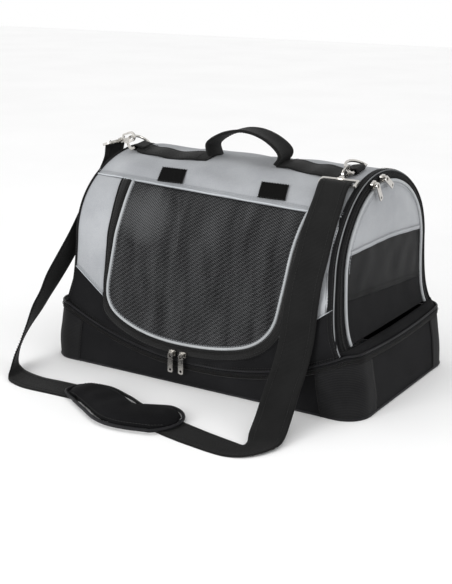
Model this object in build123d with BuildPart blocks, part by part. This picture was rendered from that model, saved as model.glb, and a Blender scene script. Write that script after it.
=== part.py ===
"""Soft pet carrier bag: arched fabric cabin zipped onto a shallow stiff base tub."""
from build123d import *
from math import cos, exp, radians, sin, sqrt
import os

os.makedirs("parts", exist_ok=True)

# Driving dimensions, millimetres. Origin: middle of the base, on the floor.
# +X runs along the bag to the zipped end door, +Y to the back, +Z up.
BASE_LENGTH = 500
BASE_DEPTH = 300
BASE_CORNER = 35
RIM_LENGTH = 472
RIM_DEPTH = 301.6
RIM_HEIGHT = 84
DIP_HEIGHT = 34
DIP_HALF_LENGTH = 216
CLOTH = 3
GAP = 0.4

ROLL_HEIGHT = 9
ZIP_STRIP = 3.4

SPRING_LINE = 181
ARCH_HALF_DEPTH = 139
ARCH_RISE = 113
FOOT_HALF_DEPTH = 151
END_HALF_LENGTH = 203.5
END_FLARE = 15.5
FLARE_FADE = 24
END_LEAN = 5
LEAN_START = 225

DOOR_HALF_WIDTH = 142
DOOR_BOTTOM = 53
DOOR_TOP = 257
SEAM_DEPTH = 98
SEAM_HEIGHT = 260.5
TAPE_WIDTH = 14
PIPING = 4
BINDING = 9

END_DOOR_HALF = 121
END_DOOR_RISE = 103
END_DOOR_BOTTOM = 91.5
END_DOOR_GREY = 205
END_DOOR_MESH = 135
END_DOOR_PROUD = 2.5

WEBBING_WIDTH = 40
WEBBING = 2.4
STRAP_WIDTH = 45
STRAP = 1.8
WIRE = 3.4

MAT_HEIGHT = 6.4
MAT_THICKNESS = 15

SLIDER_LENGTH = 11
SLIDER_WIDTH = 9
PULL_LENGTH = 28
PULL_WIDTH = 8
PULL = 1.6


def save(part, name):
    """Label a finished piece and write it to its own STEP file."""
    part.label = name
    export_step(part, f"parts/{name}.step")


def rim_z(x):
    """Height of the front rim, which dips towards the middle."""
    share = min(1, abs(x) / DIP_HALF_LENGTH)
    return DIP_HEIGHT + (RIM_HEIGHT - DIP_HEIGHT) * share**2.1


def wall_depth(z):
    """Half depth of the cabin's outer skin at height z."""
    if z <= SPRING_LINE:
        share = (z - DIP_HEIGHT) / (SPRING_LINE - DIP_HEIGHT)
        return FOOT_HALF_DEPTH + (ARCH_HALF_DEPTH - FOOT_HALF_DEPTH) * share
    return ARCH_HALF_DEPTH * sqrt(max(0, 1 - ((z - SPRING_LINE) / ARCH_RISE) ** 2))


def roof_z(y):
    """Height of the cabin's outer skin at depth y, above the spring line."""
    return SPRING_LINE + ARCH_RISE * sqrt(1 - (y / ARCH_HALF_DEPTH) ** 2)


def end_x(z):
    """Half length of the cabin at height z: flared at the rim, leaning in at the top."""
    flare = END_FLARE * exp(-(z - RIM_HEIGHT) / FLARE_FADE)
    lean = END_LEAN * (max(0, z - LEAN_START) / (SPRING_LINE + ARCH_RISE - LEAN_START)) ** 2
    return END_HALF_LENGTH + flare - lean


ROOF_TOP = SPRING_LINE + ARCH_RISE


# ---------------------------------------------------------------- base tub
def tub(grow):
    """Solid tub body, drafted in length, its outline grown outwards by grow."""
    with BuildPart() as body:
        with BuildSketch(Plane.XY):
            RectangleRounded(BASE_LENGTH + 2 * grow, BASE_DEPTH + 2 * grow, BASE_CORNER + grow)
        with BuildSketch(Plane.XY.offset(RIM_HEIGHT)):
            RectangleRounded(RIM_LENGTH + 2 * grow, RIM_DEPTH + 2 * grow, BASE_CORNER + grow)
        loft()
    return body.part


def above_rim(lift):
    """Everything above the rim line, moved up by lift."""
    half = BASE_LENGTH
    top = 2 * RIM_HEIGHT
    xs = [DIP_HALF_LENGTH * k / 4 for k in range(-4, 5)]
    dip = [(x, rim_z(x) + lift) for x in xs]
    with BuildPart() as space:
        with BuildSketch(Plane.XZ.offset(BASE_DEPTH / 3)):
            with BuildLine():
                Spline(*dip)
                Polyline(dip[-1], (half, RIM_HEIGHT + lift), (half, top), (-half, top),
                         (-half, RIM_HEIGHT + lift), dip[0])
            make_face()
        extrude(amount=BASE_DEPTH)
        with BuildSketch(Plane.XY.offset(RIM_HEIGHT + lift)):
            with Locations((0, BASE_DEPTH / 2)):
                Rectangle(2 * half, BASE_DEPTH + 2 * BASE_DEPTH / 3)
        extrude(amount=top - RIM_HEIGHT - lift)
    return space.part


def rim_band(outside, inside, top, bottom):
    """Ring that follows the rim, between two depths below it."""
    return ((tub(outside) - tub(-inside)) & above_rim(-bottom)) - above_rim(-top)


ZIP_TOP = ROLL_HEIGHT
ZIP_MIDDLE = ZIP_TOP + ZIP_STRIP
ZIP_BOTTOM = ZIP_MIDDLE + GAP + ZIP_STRIP

with BuildPart() as base_wall:
    add(tub(-1))
    add(tub(-1 - CLOTH), mode=Mode.SUBTRACT)
    add(above_rim(-ZIP_BOTTOM), mode=Mode.SUBTRACT)
    with BuildSketch(Plane.XY):
        Rectangle(2 * BASE_LENGTH, 2 * BASE_DEPTH)
    extrude(amount=CLOTH, mode=Mode.SUBTRACT)
save(base_wall.part, "base_wall")

with BuildPart() as base_floor:
    with BuildSketch(Plane.XY):
        RectangleRounded(BASE_LENGTH - 2, BASE_DEPTH - 2, BASE_CORNER - 1)
    extrude(amount=CLOTH)
save(base_floor.part, "base_floor")

# Corner panels: a smooth skin sewn over each vertical corner of the wall.
with BuildPart() as base_corner_panels:
    add(tub(0))
    add(tub(-1), mode=Mode.SUBTRACT)
    add(above_rim(-ZIP_BOTTOM), mode=Mode.SUBTRACT)
    with BuildSketch(Plane.XY):
        Rectangle(2 * BASE_LENGTH, BASE_DEPTH - 2 * BASE_CORNER)
        Rectangle(BASE_LENGTH - 2.6 * BASE_CORNER, 2 * BASE_DEPTH)
    extrude(amount=2 * RIM_HEIGHT, mode=Mode.SUBTRACT)
    with BuildSketch(Plane.XY):
        Rectangle(2 * BASE_LENGTH, 2 * BASE_DEPTH)
    extrude(amount=CLOTH, mode=Mode.SUBTRACT)
save(base_corner_panels.part, "base_corner_panels")

with BuildPart() as stiffening_board:
    with BuildSketch(Plane.XY.offset(CLOTH)):
        RectangleRounded(BASE_LENGTH - 14, BASE_DEPTH - 12, BASE_CORNER - 6)
    extrude(amount=CLOTH)
save(stiffening_board.part, "stiffening_board")

with BuildPart() as base_mat:
    with BuildSketch(Plane.XY.offset(MAT_HEIGHT)):
        RectangleRounded(BASE_LENGTH - 44, BASE_DEPTH - 24, BASE_CORNER - 10)
    extrude(amount=MAT_THICKNESS)
    fillet(base_mat.faces().sort_by(Axis.Z)[-1].edges(), 5)
save(base_mat.part, "base_mat")

save(rim_band(0.5, CLOTH, ZIP_MIDDLE + GAP, ZIP_BOTTOM), "base_zip_lower")
save(rim_band(0.5, CLOTH, ZIP_TOP, ZIP_MIDDLE), "base_zip_upper")
save(rim_band(2.5, 4, 0, ROLL_HEIGHT), "rim_roll")

# Skirt: the sloping flange that joins the rim to the foot of the cabin.
with BuildPart() as skirt:
    with BuildSketch(Plane.XY.offset(RIM_HEIGHT - 2)):
        RectangleRounded(RIM_LENGTH - 9, RIM_DEPTH - 9, BASE_CORNER - 5)
        with Locations((0, -CLOTH)):
            Rectangle(2 * (end_x(RIM_HEIGHT) - 4), RIM_DEPTH - 18, mode=Mode.SUBTRACT)
        with Locations((0, -RIM_DEPTH / 2)):
            Rectangle(2 * (end_x(RIM_HEIGHT) - 4), 30, mode=Mode.SUBTRACT)
    extrude(amount=2)
save(skirt.part, "skirt")


# ---------------------------------------------------------------- cabin skin
def arch_face(inset, foot):
    """Cross-section of the cabin, pulled in by inset, open down to height foot."""
    side = ARCH_HALF_DEPTH - inset
    base = wall_depth(foot) - inset
    with BuildSketch(Plane.YZ) as face:
        with BuildLine():
            Polyline((-side, SPRING_LINE), (-base, foot), (base, foot), (side, SPRING_LINE))
            EllipticalCenterArc((0, SPRING_LINE), side, ARCH_RISE - inset, 0, arc_size=180)
        make_face()
    return face.sketch_local


def end_profile(grow, low, high):
    """Side view of the cabin, its flared ends moved outwards by grow."""
    heights = (RIM_HEIGHT + 1, 98, 111, 130, 155, LEAN_START, 248, 264, 278, high)
    zs = [low] + [z for z in heights if z > low]
    right = [(end_x(max(z, RIM_HEIGHT)) + grow, z) for z in zs]
    left = [(-x, z) for x, z in reversed(right)]
    with BuildSketch(Plane.XZ) as face:
        with BuildLine():
            Polyline(*right)
            Line(right[-1], left[0])
            Polyline(*left)
            Line(left[-1], right[0])
        make_face()
    return face.sketch_local


def skin(outside, inside, foot=DIP_HEIGHT - 4):
    """Wall of the arched barrel between two depths, open at both ends and below."""
    with BuildPart() as tube:
        with BuildSketch(Plane.YZ):
            add(arch_face(outside, foot))
            add(arch_face(inside, foot - 5), mode=Mode.SUBTRACT)
        extrude(amount=BASE_LENGTH / 2, both=True)
        with BuildSketch(Plane.XZ):
            add(end_profile(-0.5, foot - 10, ROOF_TOP + 10))
        extrude(amount=BASE_DEPTH, both=True, mode=Mode.INTERSECT)
    return tube.part


def door_face(grow):
    """Outline of the front door: straight sides and a full, round bottom."""
    side = DOOR_HALF_WIDTH - 2 + grow
    low = DOOR_BOTTOM - grow
    curve = [(side, 112), (121 + 0.75 * grow, 76 - 0.6 * grow), (62 + 0.2 * grow, 57 - grow), (0, low)]
    with BuildSketch(Plane.XZ) as face:
        with BuildLine():
            Line((0, DOOR_TOP), (side, DOOR_TOP))
            Line((side, DOOR_TOP), (side, 112))
            Spline(*curve, tangents=[(0, -1), (-1, 0)])
            Line((0, low), (0, DOOR_TOP))
        make_face()
        mirror(about=Plane.YZ)
    return face.sketch_local


def front_cut(part, face, mode=Mode.INTERSECT):
    """Keep or remove what stands in front of the middle plane within a face."""
    with BuildPart() as cut:
        add(part)
        with BuildSketch(Plane.XZ):
            add(face)
        extrude(amount=BASE_DEPTH, mode=mode)
    return cut.part


def side_seam(x):
    """Height of the slanted seam between the grey and black front panels."""
    return 109 + 0.69 * (abs(x) - 157)


cabin_skin = skin(0, CLOTH)
tape_edge = DOOR_HALF_WIDTH - 2 + TAPE_WIDTH

with BuildPart() as top_panel:
    add(cabin_skin)
    with BuildSketch(Plane.YZ):
        with BuildLine():
            Polyline((0, SPRING_LINE), (-2 * SEAM_DEPTH, 2 * SEAM_HEIGHT - SPRING_LINE), (0, 400),
                     (200, 400), (200, 142), (60, 142), (0, SPRING_LINE))
        make_face()
    extrude(amount=BASE_LENGTH / 2, both=True, mode=Mode.INTERSECT)
save(top_panel.part, "top_panel")

with BuildPart() as back_panel:
    add(cabin_skin)
    with BuildSketch(Plane.XZ):
        with Locations((0, (142 + RIM_HEIGHT) / 2)):
            Rectangle(BASE_LENGTH, 142 - RIM_HEIGHT - GAP)
    extrude(amount=-BASE_DEPTH, mode=Mode.INTERSECT)
save(back_panel.part, "back_panel")

with BuildPart() as front_lower_panel:
    add(cabin_skin)
    with BuildSketch(Plane.XZ):
        with BuildLine():
            Polyline((0, 10), (BASE_LENGTH / 2, 10), (BASE_LENGTH / 2, side_seam(BASE_LENGTH / 2)),
                     (tape_edge - 20, side_seam(tape_edge - 20)), (0, side_seam(tape_edge - 20)), (0, 10))
        make_face()
        mirror(about=Plane.YZ)
        add(door_face(TAPE_WIDTH), mode=Mode.SUBTRACT)
    extrude(amount=BASE_DEPTH, mode=Mode.INTERSECT)
    add(above_rim(0.1), mode=Mode.INTERSECT)
save(front_lower_panel.part, "front_lower_panel")

for name, sign in (("front_side_left", -1), ("front_side_right", 1)):
    with BuildSketch(Plane.XZ) as side_face:
        with BuildLine():
            inner = sign * (tape_edge + 0.1)
            outer = sign * BASE_LENGTH / 2
            Polyline((inner, side_seam(inner)), (outer, side_seam(outer)), (outer, DOOR_TOP + 3),
                     (inner, DOOR_TOP + 3), (inner, side_seam(inner)))
        make_face()
    save(front_cut(cabin_skin, side_face.sketch_local) - top_panel.part, name)

with BuildSketch(Plane.XZ) as tape_face:
    add(door_face(TAPE_WIDTH - 0.1))
    add(door_face(0.8), mode=Mode.SUBTRACT)
    with Locations((0, 300)):
        Rectangle(BASE_LENGTH, 2 * (300 - DOOR_TOP + 4), mode=Mode.SUBTRACT)
save(front_cut(skin(-0.8, 1.2), tape_face.sketch_local), "front_zip_tape")

with BuildPart() as front_hem:
    add(skin(-1.5, -0.1))
    with BuildSketch(Plane.XZ):
        with Locations((0, SEAM_HEIGHT + 2.5)):
            Rectangle(2 * (END_HALF_LENGTH - BINDING), 4)
    extrude(amount=BASE_DEPTH, mode=Mode.INTERSECT)
save(front_hem.part, "front_hem")

patch_skin = skin(-1.6, -0.1)
with BuildPart() as door_patches:
    add(patch_skin)
    with BuildSketch(Plane.XY.offset(200)):
        with Locations((-80, -80), (80, -80)):
            Rectangle(40, 26)
    extrude(amount=150, mode=Mode.INTERSECT)
save(door_patches.part, "door_patches")

# ---------------------------------------------------------------- front door
with BuildSketch(Plane.XZ) as mesh_face:
    add(door_face(-PIPING - 0.1))
save(front_cut(cabin_skin, mesh_face.sketch_local), "front_door_mesh")

with BuildSketch(Plane.XZ) as piping_face:
    add(door_face(0))
    add(door_face(-PIPING), mode=Mode.SUBTRACT)
save(front_cut(skin(-1.8, CLOTH), piping_face.sketch_local), "front_door_piping")

with BuildPart() as door_tab:
    add(skin(CLOTH + 0.1, CLOTH + 1.7))
    with BuildSketch(Plane.XZ):
        with Locations((-80, 138), (80, 138)):
            Rectangle(40, 26)
    extrude(amount=BASE_DEPTH, mode=Mode.INTERSECT)
save(door_tab.part, "front_door_tabs")


# ---------------------------------------------------------------- ends
def end_plate(inner, outer, low):
    """Upright plate that follows the flared end, between two offsets, on the right."""
    with BuildPart() as plate:
        with BuildSketch(Plane.XZ):
            add(end_profile(outer, low, ROOF_TOP + 6))
            add(end_profile(inner, low - 5, ROOF_TOP + 6), mode=Mode.SUBTRACT)
            with Locations((-BASE_LENGTH / 2, 200)):
                Rectangle(BASE_LENGTH, 400, mode=Mode.SUBTRACT)
        extrude(amount=BASE_DEPTH / 2, both=True)
    return plate.part


def end_opening(grow, bottom):
    """Arched outline of the end door, grown outwards by grow."""
    half = END_DOOR_HALF + grow
    with BuildSketch(Plane.YZ) as face:
        with BuildLine():
            Polyline((-half, SPRING_LINE), (-half, bottom), (half, bottom), (half, SPRING_LINE))
            EllipticalCenterArc((0, SPRING_LINE), half, END_DOOR_RISE + grow, 0, arc_size=180)
        make_face()
    return face.sketch_local


def end_piece(inner, outer, outline, hole=None, low=RIM_HEIGHT + 0.6, z_low=None, z_high=None):
    """Piece of the end wall inside an outline, less a hole, cut to a height range."""
    with BuildPart() as piece:
        add(end_plate(inner, outer, low))
        with BuildSketch(Plane.YZ):
            add(outline)
            if hole is not None:
                add(hole, mode=Mode.SUBTRACT)
            if z_low is not None:
                with Locations((0, z_low - 200)):
                    Rectangle(BASE_LENGTH, 400, mode=Mode.SUBTRACT)
            if z_high is not None:
                with Locations((0, z_high + 200)):
                    Rectangle(BASE_LENGTH, 400, mode=Mode.SUBTRACT)
        extrude(amount=BASE_LENGTH, mode=Mode.INTERSECT)
    return piece.part


PANEL_IN = END_DOOR_PROUD
PANEL_OUT = END_DOOR_PROUD + CLOTH
panel_outline = end_opening(-PIPING - 0.1, END_DOOR_BOTTOM)
end_pieces = {
    "end_frame": end_piece(-0.3, 4, arch_face(0, RIM_HEIGHT), end_opening(1, END_DOOR_BOTTOM - 1.2)),
    "arch_piping": end_piece(-0.3, 1.6, arch_face(-2.4, RIM_HEIGHT), arch_face(-0.1, RIM_HEIGHT - 5)),
    "end_grey": end_piece(PANEL_IN, PANEL_OUT, panel_outline, z_low=END_DOOR_GREY + 0.1),
    "end_mesh": end_piece(PANEL_IN, PANEL_OUT, panel_outline, z_low=END_DOOR_MESH + 0.1,
                          z_high=END_DOOR_GREY),
    "end_black": end_piece(PANEL_IN, PANEL_OUT, panel_outline, z_high=END_DOOR_MESH),
    "end_welt": end_piece(PANEL_IN, PANEL_OUT + 1.8, end_opening(0, END_DOOR_BOTTOM),
                          end_opening(-PIPING, END_DOOR_BOTTOM - 5)),
}
arch_piping = end_pieces.pop("arch_piping")
save(Compound([arch_piping, mirror(arch_piping, about=Plane.YZ)]), "arch_piping")
for name, piece in end_pieces.items():
    save(Part() + piece, f"{name}_right")
    save(mirror(piece, about=Plane.YZ), f"{name}_left")

# Black binding that covers the barrel beside each end arch.
with BuildPart() as arch_binding:
    add(skin(-1.4, -0.1, RIM_HEIGHT + 1))
    with BuildSketch(Plane.XZ):
        Rectangle(2 * BASE_LENGTH, 4 * ROOF_TOP)
        with BuildLine():
            edge = END_HALF_LENGTH - BINDING
            foot_edge = end_x(RIM_HEIGHT) - BINDING
            Polyline((-foot_edge, RIM_HEIGHT), (foot_edge, RIM_HEIGHT), (edge, 130), (edge, 2 * ROOF_TOP),
                     (-edge, 2 * ROOF_TOP), (-edge, 130), (-foot_edge, RIM_HEIGHT))
        make_face(mode=Mode.SUBTRACT)
    extrude(amount=BASE_DEPTH, both=True, mode=Mode.INTERSECT)
save(arch_binding.part, "arch_binding")

# ---------------------------------------------------------------- top webbing and handle
RING_X = 175
WEB_START = 44
WEB_END = RING_X - 10
WEB_Y = -22
HANDLE_X = 58
HANDLE_PIVOT = 300
HANDLE_TOP = 338
HANDLE_Y = -22
RING_HALF = 22
RING_REACH = 20.5

for name, sign in (("top_webbing_left", -1), ("top_webbing_right", 1)):
    with BuildPart() as webbing:
        add(skin(-WEBBING - 0.1, -0.1))
        with BuildSketch(Plane.XY.offset(200)):
            with Locations((sign * (WEB_START + WEB_END) / 2, WEB_Y)):
                Rectangle(WEB_END - WEB_START, WEBBING_WIDTH)
        extrude(amount=150, mode=Mode.INTERSECT)
    save(webbing.part, name)

# Carry handle: one band of webbing, drawn narrow at both roots so that it can lean.
band = [(-HANDLE_X, HANDLE_PIVOT, 9), (-HANDLE_X - 1, 312, 24), (-HANDLE_X + 3, 323, 38),
        (-34, 333, WEBBING_WIDTH), (0, HANDLE_TOP - 1.5, WEBBING_WIDTH), (34, 333, WEBBING_WIDTH),
        (HANDLE_X - 3, 323, 38), (HANDLE_X + 1, 312, 24), (HANDLE_X, HANDLE_PIVOT, 9)]
with BuildPart() as carry_handle:
    for k, (x, z, width) in enumerate(band):
        before = band[max(k - 1, 0)]
        after = band[min(k + 1, len(band) - 1)]
        along = Vector(after[0] - before[0], 0, after[1] - before[1])
        with BuildSketch(Plane(origin=(x, HANDLE_Y, z), x_dir=(0, 1, 0), z_dir=along)):
            Rectangle(width, 3)
    loft(ruled=True)
save(carry_handle.part, "carry_handle")


# ---------------------------------------------------------------- rings and snap hooks
def ring_plane(sign, lean, slope):
    """Plane of a D-ring: its bar lies along local X and its bow points along local Y."""
    roof = roof_z(WEB_Y) + 5.2
    bar = Vector(0, cos(radians(slope)), sin(radians(slope)))
    bow = Vector(-cos(radians(lean)), 0, sin(radians(lean)))
    normal = bar.cross(bow)
    return Plane(origin=(sign * RING_X, WEB_Y, roof), x_dir=bar, z_dir=normal)


def d_ring(plane):
    """Flat-wire D-ring."""
    half = WIRE / 2
    inner = RING_HALF - WIRE
    with BuildPart() as ring:
        with BuildSketch(plane):
            with BuildLine():
                Polyline((-RING_HALF, 4), (-RING_HALF, -half), (RING_HALF, -half), (RING_HALF, 4))
                ThreePointArc((RING_HALF, 4), (0, RING_REACH), (-RING_HALF, 4))
            make_face()
            with BuildLine():
                Polyline((-inner, 4), (-inner, half), (inner, half), (inner, 4))
                ThreePointArc((inner, 4), (0, RING_REACH - WIRE), (-inner, 4))
            make_face(mode=Mode.SUBTRACT)
        extrude(amount=WIRE / 2, both=True)
        chamfer(ring.edges().filter_by(GeomType.CIRCLE), 0.7)
    return ring.part


def ring_keeper(plane):
    """End loop of the top webbing, folded round the D-ring's bar."""
    with BuildPart() as keeper:
        with BuildSketch(Plane(origin=plane.origin, x_dir=(1, 0, 0), z_dir=plane.x_dir)):
            RectangleRounded(8.6, 8.6, 3)
            Circle(2.9, mode=Mode.SUBTRACT)
        extrude(amount=14, both=True)
    return keeper.part


LEFT_RING = ring_plane(-1, 40, 8)
RIGHT_RING = ring_plane(1, 28, 8)
save(d_ring(LEFT_RING), "d_ring_left")
save(d_ring(RIGHT_RING), "d_ring_right")
save(Compound([ring_keeper(LEFT_RING), ring_keeper(RIGHT_RING)]), "ring_keepers")

HOOK_HALF = 7.5
HOOK_WIRE = 3
GATE_MIDDLE = -8
GATE_LENGTH = 9
NOSE = 7.4
HOOK_TAIL = 16
EYE_TOP = 20.2
EYE_END = 34.5
EYE_HALF = 27


def hook_plane(origin, nose, normal):
    """Plane of a snap hook: local Y points to the nose, local X across the hook."""
    return Plane(origin=origin, x_dir=nose.cross(normal), z_dir=normal)


def hook_body(plane):
    """Open oval hook with its swivel post."""
    middle = (NOSE - HOOK_TAIL) / 2
    length = NOSE + HOOK_TAIL
    with BuildPart() as body:
        with BuildSketch(plane):
            with Locations((0, middle)):
                SlotOverall(length, 2 * HOOK_HALF, rotation=90)
                SlotOverall(length - 2 * HOOK_WIRE, 2 * (HOOK_HALF - HOOK_WIRE), rotation=90,
                            mode=Mode.SUBTRACT)
            with Locations((HOOK_HALF, GATE_MIDDLE)):
                Rectangle(HOOK_HALF, GATE_LENGTH + 0.6, mode=Mode.SUBTRACT)
        extrude(amount=HOOK_WIRE / 2, both=True)
        with BuildSketch(Plane(origin=plane.from_local_coords((0, -HOOK_TAIL + 1, 0)), z_dir=-plane.y_dir)):
            Circle(2.4)
        extrude(amount=EYE_TOP - HOOK_TAIL + 1.6)
    return body.part


def hook_gate(plane):
    """Sprung bar that closes the hook's mouth, hinged at its tail end."""
    with BuildPart() as gate:
        with BuildSketch(plane):
            with Locations((HOOK_HALF - HOOK_WIRE / 2, GATE_MIDDLE)):
                Rectangle(2.6, GATE_LENGTH)
        extrude(amount=1.4, both=True)
    return gate.part


def hook_eye(plane, across):
    """Rectangular loop that holds the strap, with the swivel collar."""
    flat = Plane(origin=plane.origin, x_dir=across, z_dir=across.cross(plane.y_dir))
    with BuildPart() as eye:
        with BuildSketch(flat):
            with Locations((0, -(EYE_TOP + EYE_END) / 2)):
                RectangleRounded(2 * EYE_HALF, EYE_END - EYE_TOP, 3)
                RectangleRounded(2 * (EYE_HALF - 3.4), EYE_END - EYE_TOP - 6.8, 1.5, mode=Mode.SUBTRACT)
            with Locations((0, -EYE_TOP - 1.4)):
                Rectangle(10, 5)
        extrude(amount=1.7, both=True)
        with BuildSketch(Plane(origin=plane.from_local_coords((0, -EYE_TOP + 1.6, 0)), z_dir=-plane.y_dir)):
            Circle(4)
        extrude(amount=3.6)
        with BuildSketch(Plane(origin=plane.from_local_coords((0, -EYE_TOP + 2, 0)), z_dir=-plane.y_dir)):
            Circle(2.5)
        extrude(amount=2.6, mode=Mode.SUBTRACT)
    return eye.part


RIGHT_GRIP = (-18.9, 7.6)
RIGHT_NOSE = Vector(0, cos(radians(25)), sin(radians(25)))
LEFT_NOSE = Vector(cos(radians(20)), 0, sin(radians(20)))
right_wire = RIGHT_RING.from_local_coords((*RIGHT_GRIP, 0))
left_wire = LEFT_RING.from_local_coords((0, RING_REACH - WIRE / 2, 0))
RIGHT_HOOK = hook_plane(right_wire, RIGHT_NOSE, Vector(-1, 0, 0))
LEFT_HOOK = hook_plane(left_wire, LEFT_NOSE, Vector(0, 1, 0))
for side, plane, across in (("left", LEFT_HOOK, Vector(0, 1, 0)), ("right", RIGHT_HOOK, Vector(1, 0, 0))):
    save(hook_body(plane), f"snap_hook_{side}")
    save(hook_gate(plane), f"hook_gate_{side}")
    save(hook_eye(plane, across), f"hook_eye_{side}")


# ---------------------------------------------------------------- shoulder strap
def strap_run(stations, width=STRAP_WIDTH, thickness=STRAP):
    """Band of webbing through stations of (centre, width direction)."""
    with BuildPart() as run:
        for k, (centre, across) in enumerate(stations):
            before = Vector(stations[max(k - 1, 0)][0])
            after = Vector(stations[min(k + 1, len(stations) - 1)][0])
            along = (after - before).normalized()
            wide = Vector(across) - along * along.dot(Vector(across))
            with BuildSketch(Plane(origin=centre, x_dir=wide, z_dir=along)):
                Rectangle(width, thickness)
        loft(ruled=True)
    return run.part


def strap_fold(plane, across):
    """End of the strap, folded round the eye's bar and stitched."""
    bar = plane.from_local_coords((0, -EYE_END + 1.7, 0))
    with BuildPart() as fold:
        with BuildSketch(Plane(origin=bar, x_dir=plane.y_dir, z_dir=across)):
            RectangleRounded(8.4, 8.4, 3.5)
            Rectangle(4.6, 4.6, mode=Mode.SUBTRACT)
        extrude(amount=STRAP_WIDTH / 2, both=True)
    return fold.part


folds = [strap_fold(RIGHT_HOOK, Vector(1, 0, 0)), strap_fold(LEFT_HOOK, Vector(0, 1, 0))]
save(Compound(folds), "strap_folds")


def off_roof(x, y, lift=4.5):
    """Station of the strap held a little off the arched roof, lying across it."""
    rise = roof_z(y) - SPRING_LINE
    normal = Vector(0, y / ARCH_HALF_DEPTH**2, rise / ARCH_RISE**2).normalized()
    centre = Vector(x, y, roof_z(y)) + normal * lift
    return (centre.X, centre.Y, centre.Z), (1, 0, 0)


right_bar = RIGHT_HOOK.from_local_coords((0, -EYE_END + 1.7, 0))
drop = [((right_bar.X, right_bar.Y - 4, right_bar.Z - 5.6), (1, 0, 0)),
        off_roof(170.5, -96), off_roof(172, -112), off_roof(173, -126), off_roof(172, -136),
        ((168, -147.5, 182), (1, 0.05, 0)), ((164.5, -150, 148), (1, 0.1, 0)),
        ((163.5, -156, 105), (1, 0.2, 0)), ((160, -168, 70), (1, 0.3, 0)),
        ((162, -195, 46), (1, 0.35, 0)), ((172, -232, 24), (1, 0.4, 0)), ((183, -266, 8), (1, 0.4, 0)),
        ((187, -286, 3.6), (1, 0.4, 0))]
save(strap_run(drop), "strap_right")

floor = STRAP / 2
floor_run = [((196, -296, floor), (0, 1, 0)), ((150, -296, floor), (0, 1, 0)), ((104, -288, floor), (0.2, 1, 0)),
             ((76, -268, floor), (0.3, 1, 0)), ((50, -256, floor), (0, 1, 0)), ((-160, -256, floor), (0, 1, 0)),
             ((-200, -250, floor), (0.15, 1, 0)), ((-232, -243, floor), (0.3, 1, 0))]
save(strap_run(floor_run), "strap_floor")

left_bar = LEFT_HOOK.from_local_coords((0, -EYE_END + 1.7, 0))
rise = [((left_bar.X - 6.6, left_bar.Y - 1, left_bar.Z - 2), (0, 1, 0)), ((-230, -28, 276), (0, 1, 0)),
        ((-230, -50, 246), (0, 1, 0.1)), ((-232, -84, 205), (-0.2, 1, 0.2)),
        ((-241, -108, 165), (-0.3, 1, 0.1)), ((-250, -124, 126), (-0.5, 1, 0)),
        ((-252, -156, 97), (-0.5, 1, 0)), ((-252, -186, 70), (-0.5, 1, 0)), ((-251, -212, 42), (-0.4, 1, 0)),
        ((-248, -226, 23), (-0.2, 1, 0)), ((-240, -238, 12.4), (0.1, 1, 0))]
save(strap_run(rise), "strap_left")

PAD_HALF = 86
PAD_WIDE = 74
with BuildPart() as shoulder_pad:
    with BuildSketch(Plane.XY.offset(STRAP + 0.7)):
        with BuildLine():
            Line((-PAD_HALF, -24), (-PAD_HALF, 24))
            ThreePointArc((-PAD_HALF, 24), (0, PAD_WIDE / 2), (PAD_HALF, 24))
            Line((PAD_HALF, 24), (PAD_HALF, -24))
            ThreePointArc((PAD_HALF, -24), (0, -PAD_WIDE / 2), (-PAD_HALF, -24))
        make_face()
    extrude(amount=12)
    fillet(shoulder_pad.faces().sort_by(Axis.Z)[-1].edges(), 4)
pad = Pos(-42, -256, 0) * shoulder_pad.part
save(pad, "shoulder_pad")


# ---------------------------------------------------------------- zip sliders and pulls
def slider(plane):
    """Zip slider: local X is its travel, local Z points away from the fabric."""
    with BuildPart() as body:
        with BuildSketch(plane):
            RectangleRounded(SLIDER_LENGTH, SLIDER_WIDTH, 2)
        extrude(amount=3.4)
        with BuildSketch(plane.offset(3.4)):
            with Locations((0, 2.4), (0, -2.4)):
                Rectangle(6, 1.2)
        extrude(amount=2.6)
        with BuildSketch(plane.offset(5.4)):
            Rectangle(6, 6)
        extrude(amount=1.2)
    return body.part


def pull(plane):
    """Flat pull tab: local Z is its face, and it reaches from the origin along -Y."""
    with BuildPart() as tab:
        with BuildSketch(plane):
            with Locations((0, -PULL_LENGTH / 2 + 3)):
                RectangleRounded(PULL_WIDTH, PULL_LENGTH, 2.4)
            with Locations((0, -1)):
                Rectangle(3.6, 5.4, mode=Mode.SUBTRACT)
            with Locations((0, -PULL_LENGTH + 7)):
                Circle(1.8, mode=Mode.SUBTRACT)
        extrude(amount=PULL / 2, both=True)
    return tab.part


FRONT_ZIP_Z = 46
FRONT_ZIP_Y = -(wall_depth(FRONT_ZIP_Z) + 1.6)
for name, x in (("left", -29), ("right", -12)):
    zip_plane = Plane(origin=(x, FRONT_ZIP_Y, FRONT_ZIP_Z), x_dir=(1, 0, 0), z_dir=(0, -1, 0))
    save(slider(zip_plane), f"front_slider_{name}")
    hang = Plane(origin=(x, FRONT_ZIP_Y - 7.8, FRONT_ZIP_Z - 1), x_dir=(1, 0, 0), z_dir=(0, -1, 0))
    save(pull(hang), f"front_pull_{name}")

for name, y, z, travel, swing in (("front", -46, 284.5, 22, 34), ("back", -18, 288.9, 8, 58)):
    zip_x = end_x(z) + PANEL_OUT + 0.6
    along = Vector(0, cos(radians(travel)), sin(radians(travel)))
    zip_plane = Plane(origin=(zip_x, y, z), x_dir=along, z_dir=(1, 0, 0))
    save(slider(zip_plane), f"end_slider_{name}")
    reach = Vector(0, -sin(radians(swing)), cos(radians(swing)))
    hang = Plane(origin=(zip_x + 7.6, y, z), x_dir=reach.cross(Vector(1, 0, 0)), z_dir=(1, 0, 0))
    save(pull(hang), f"end_pull_{name}")

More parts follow.
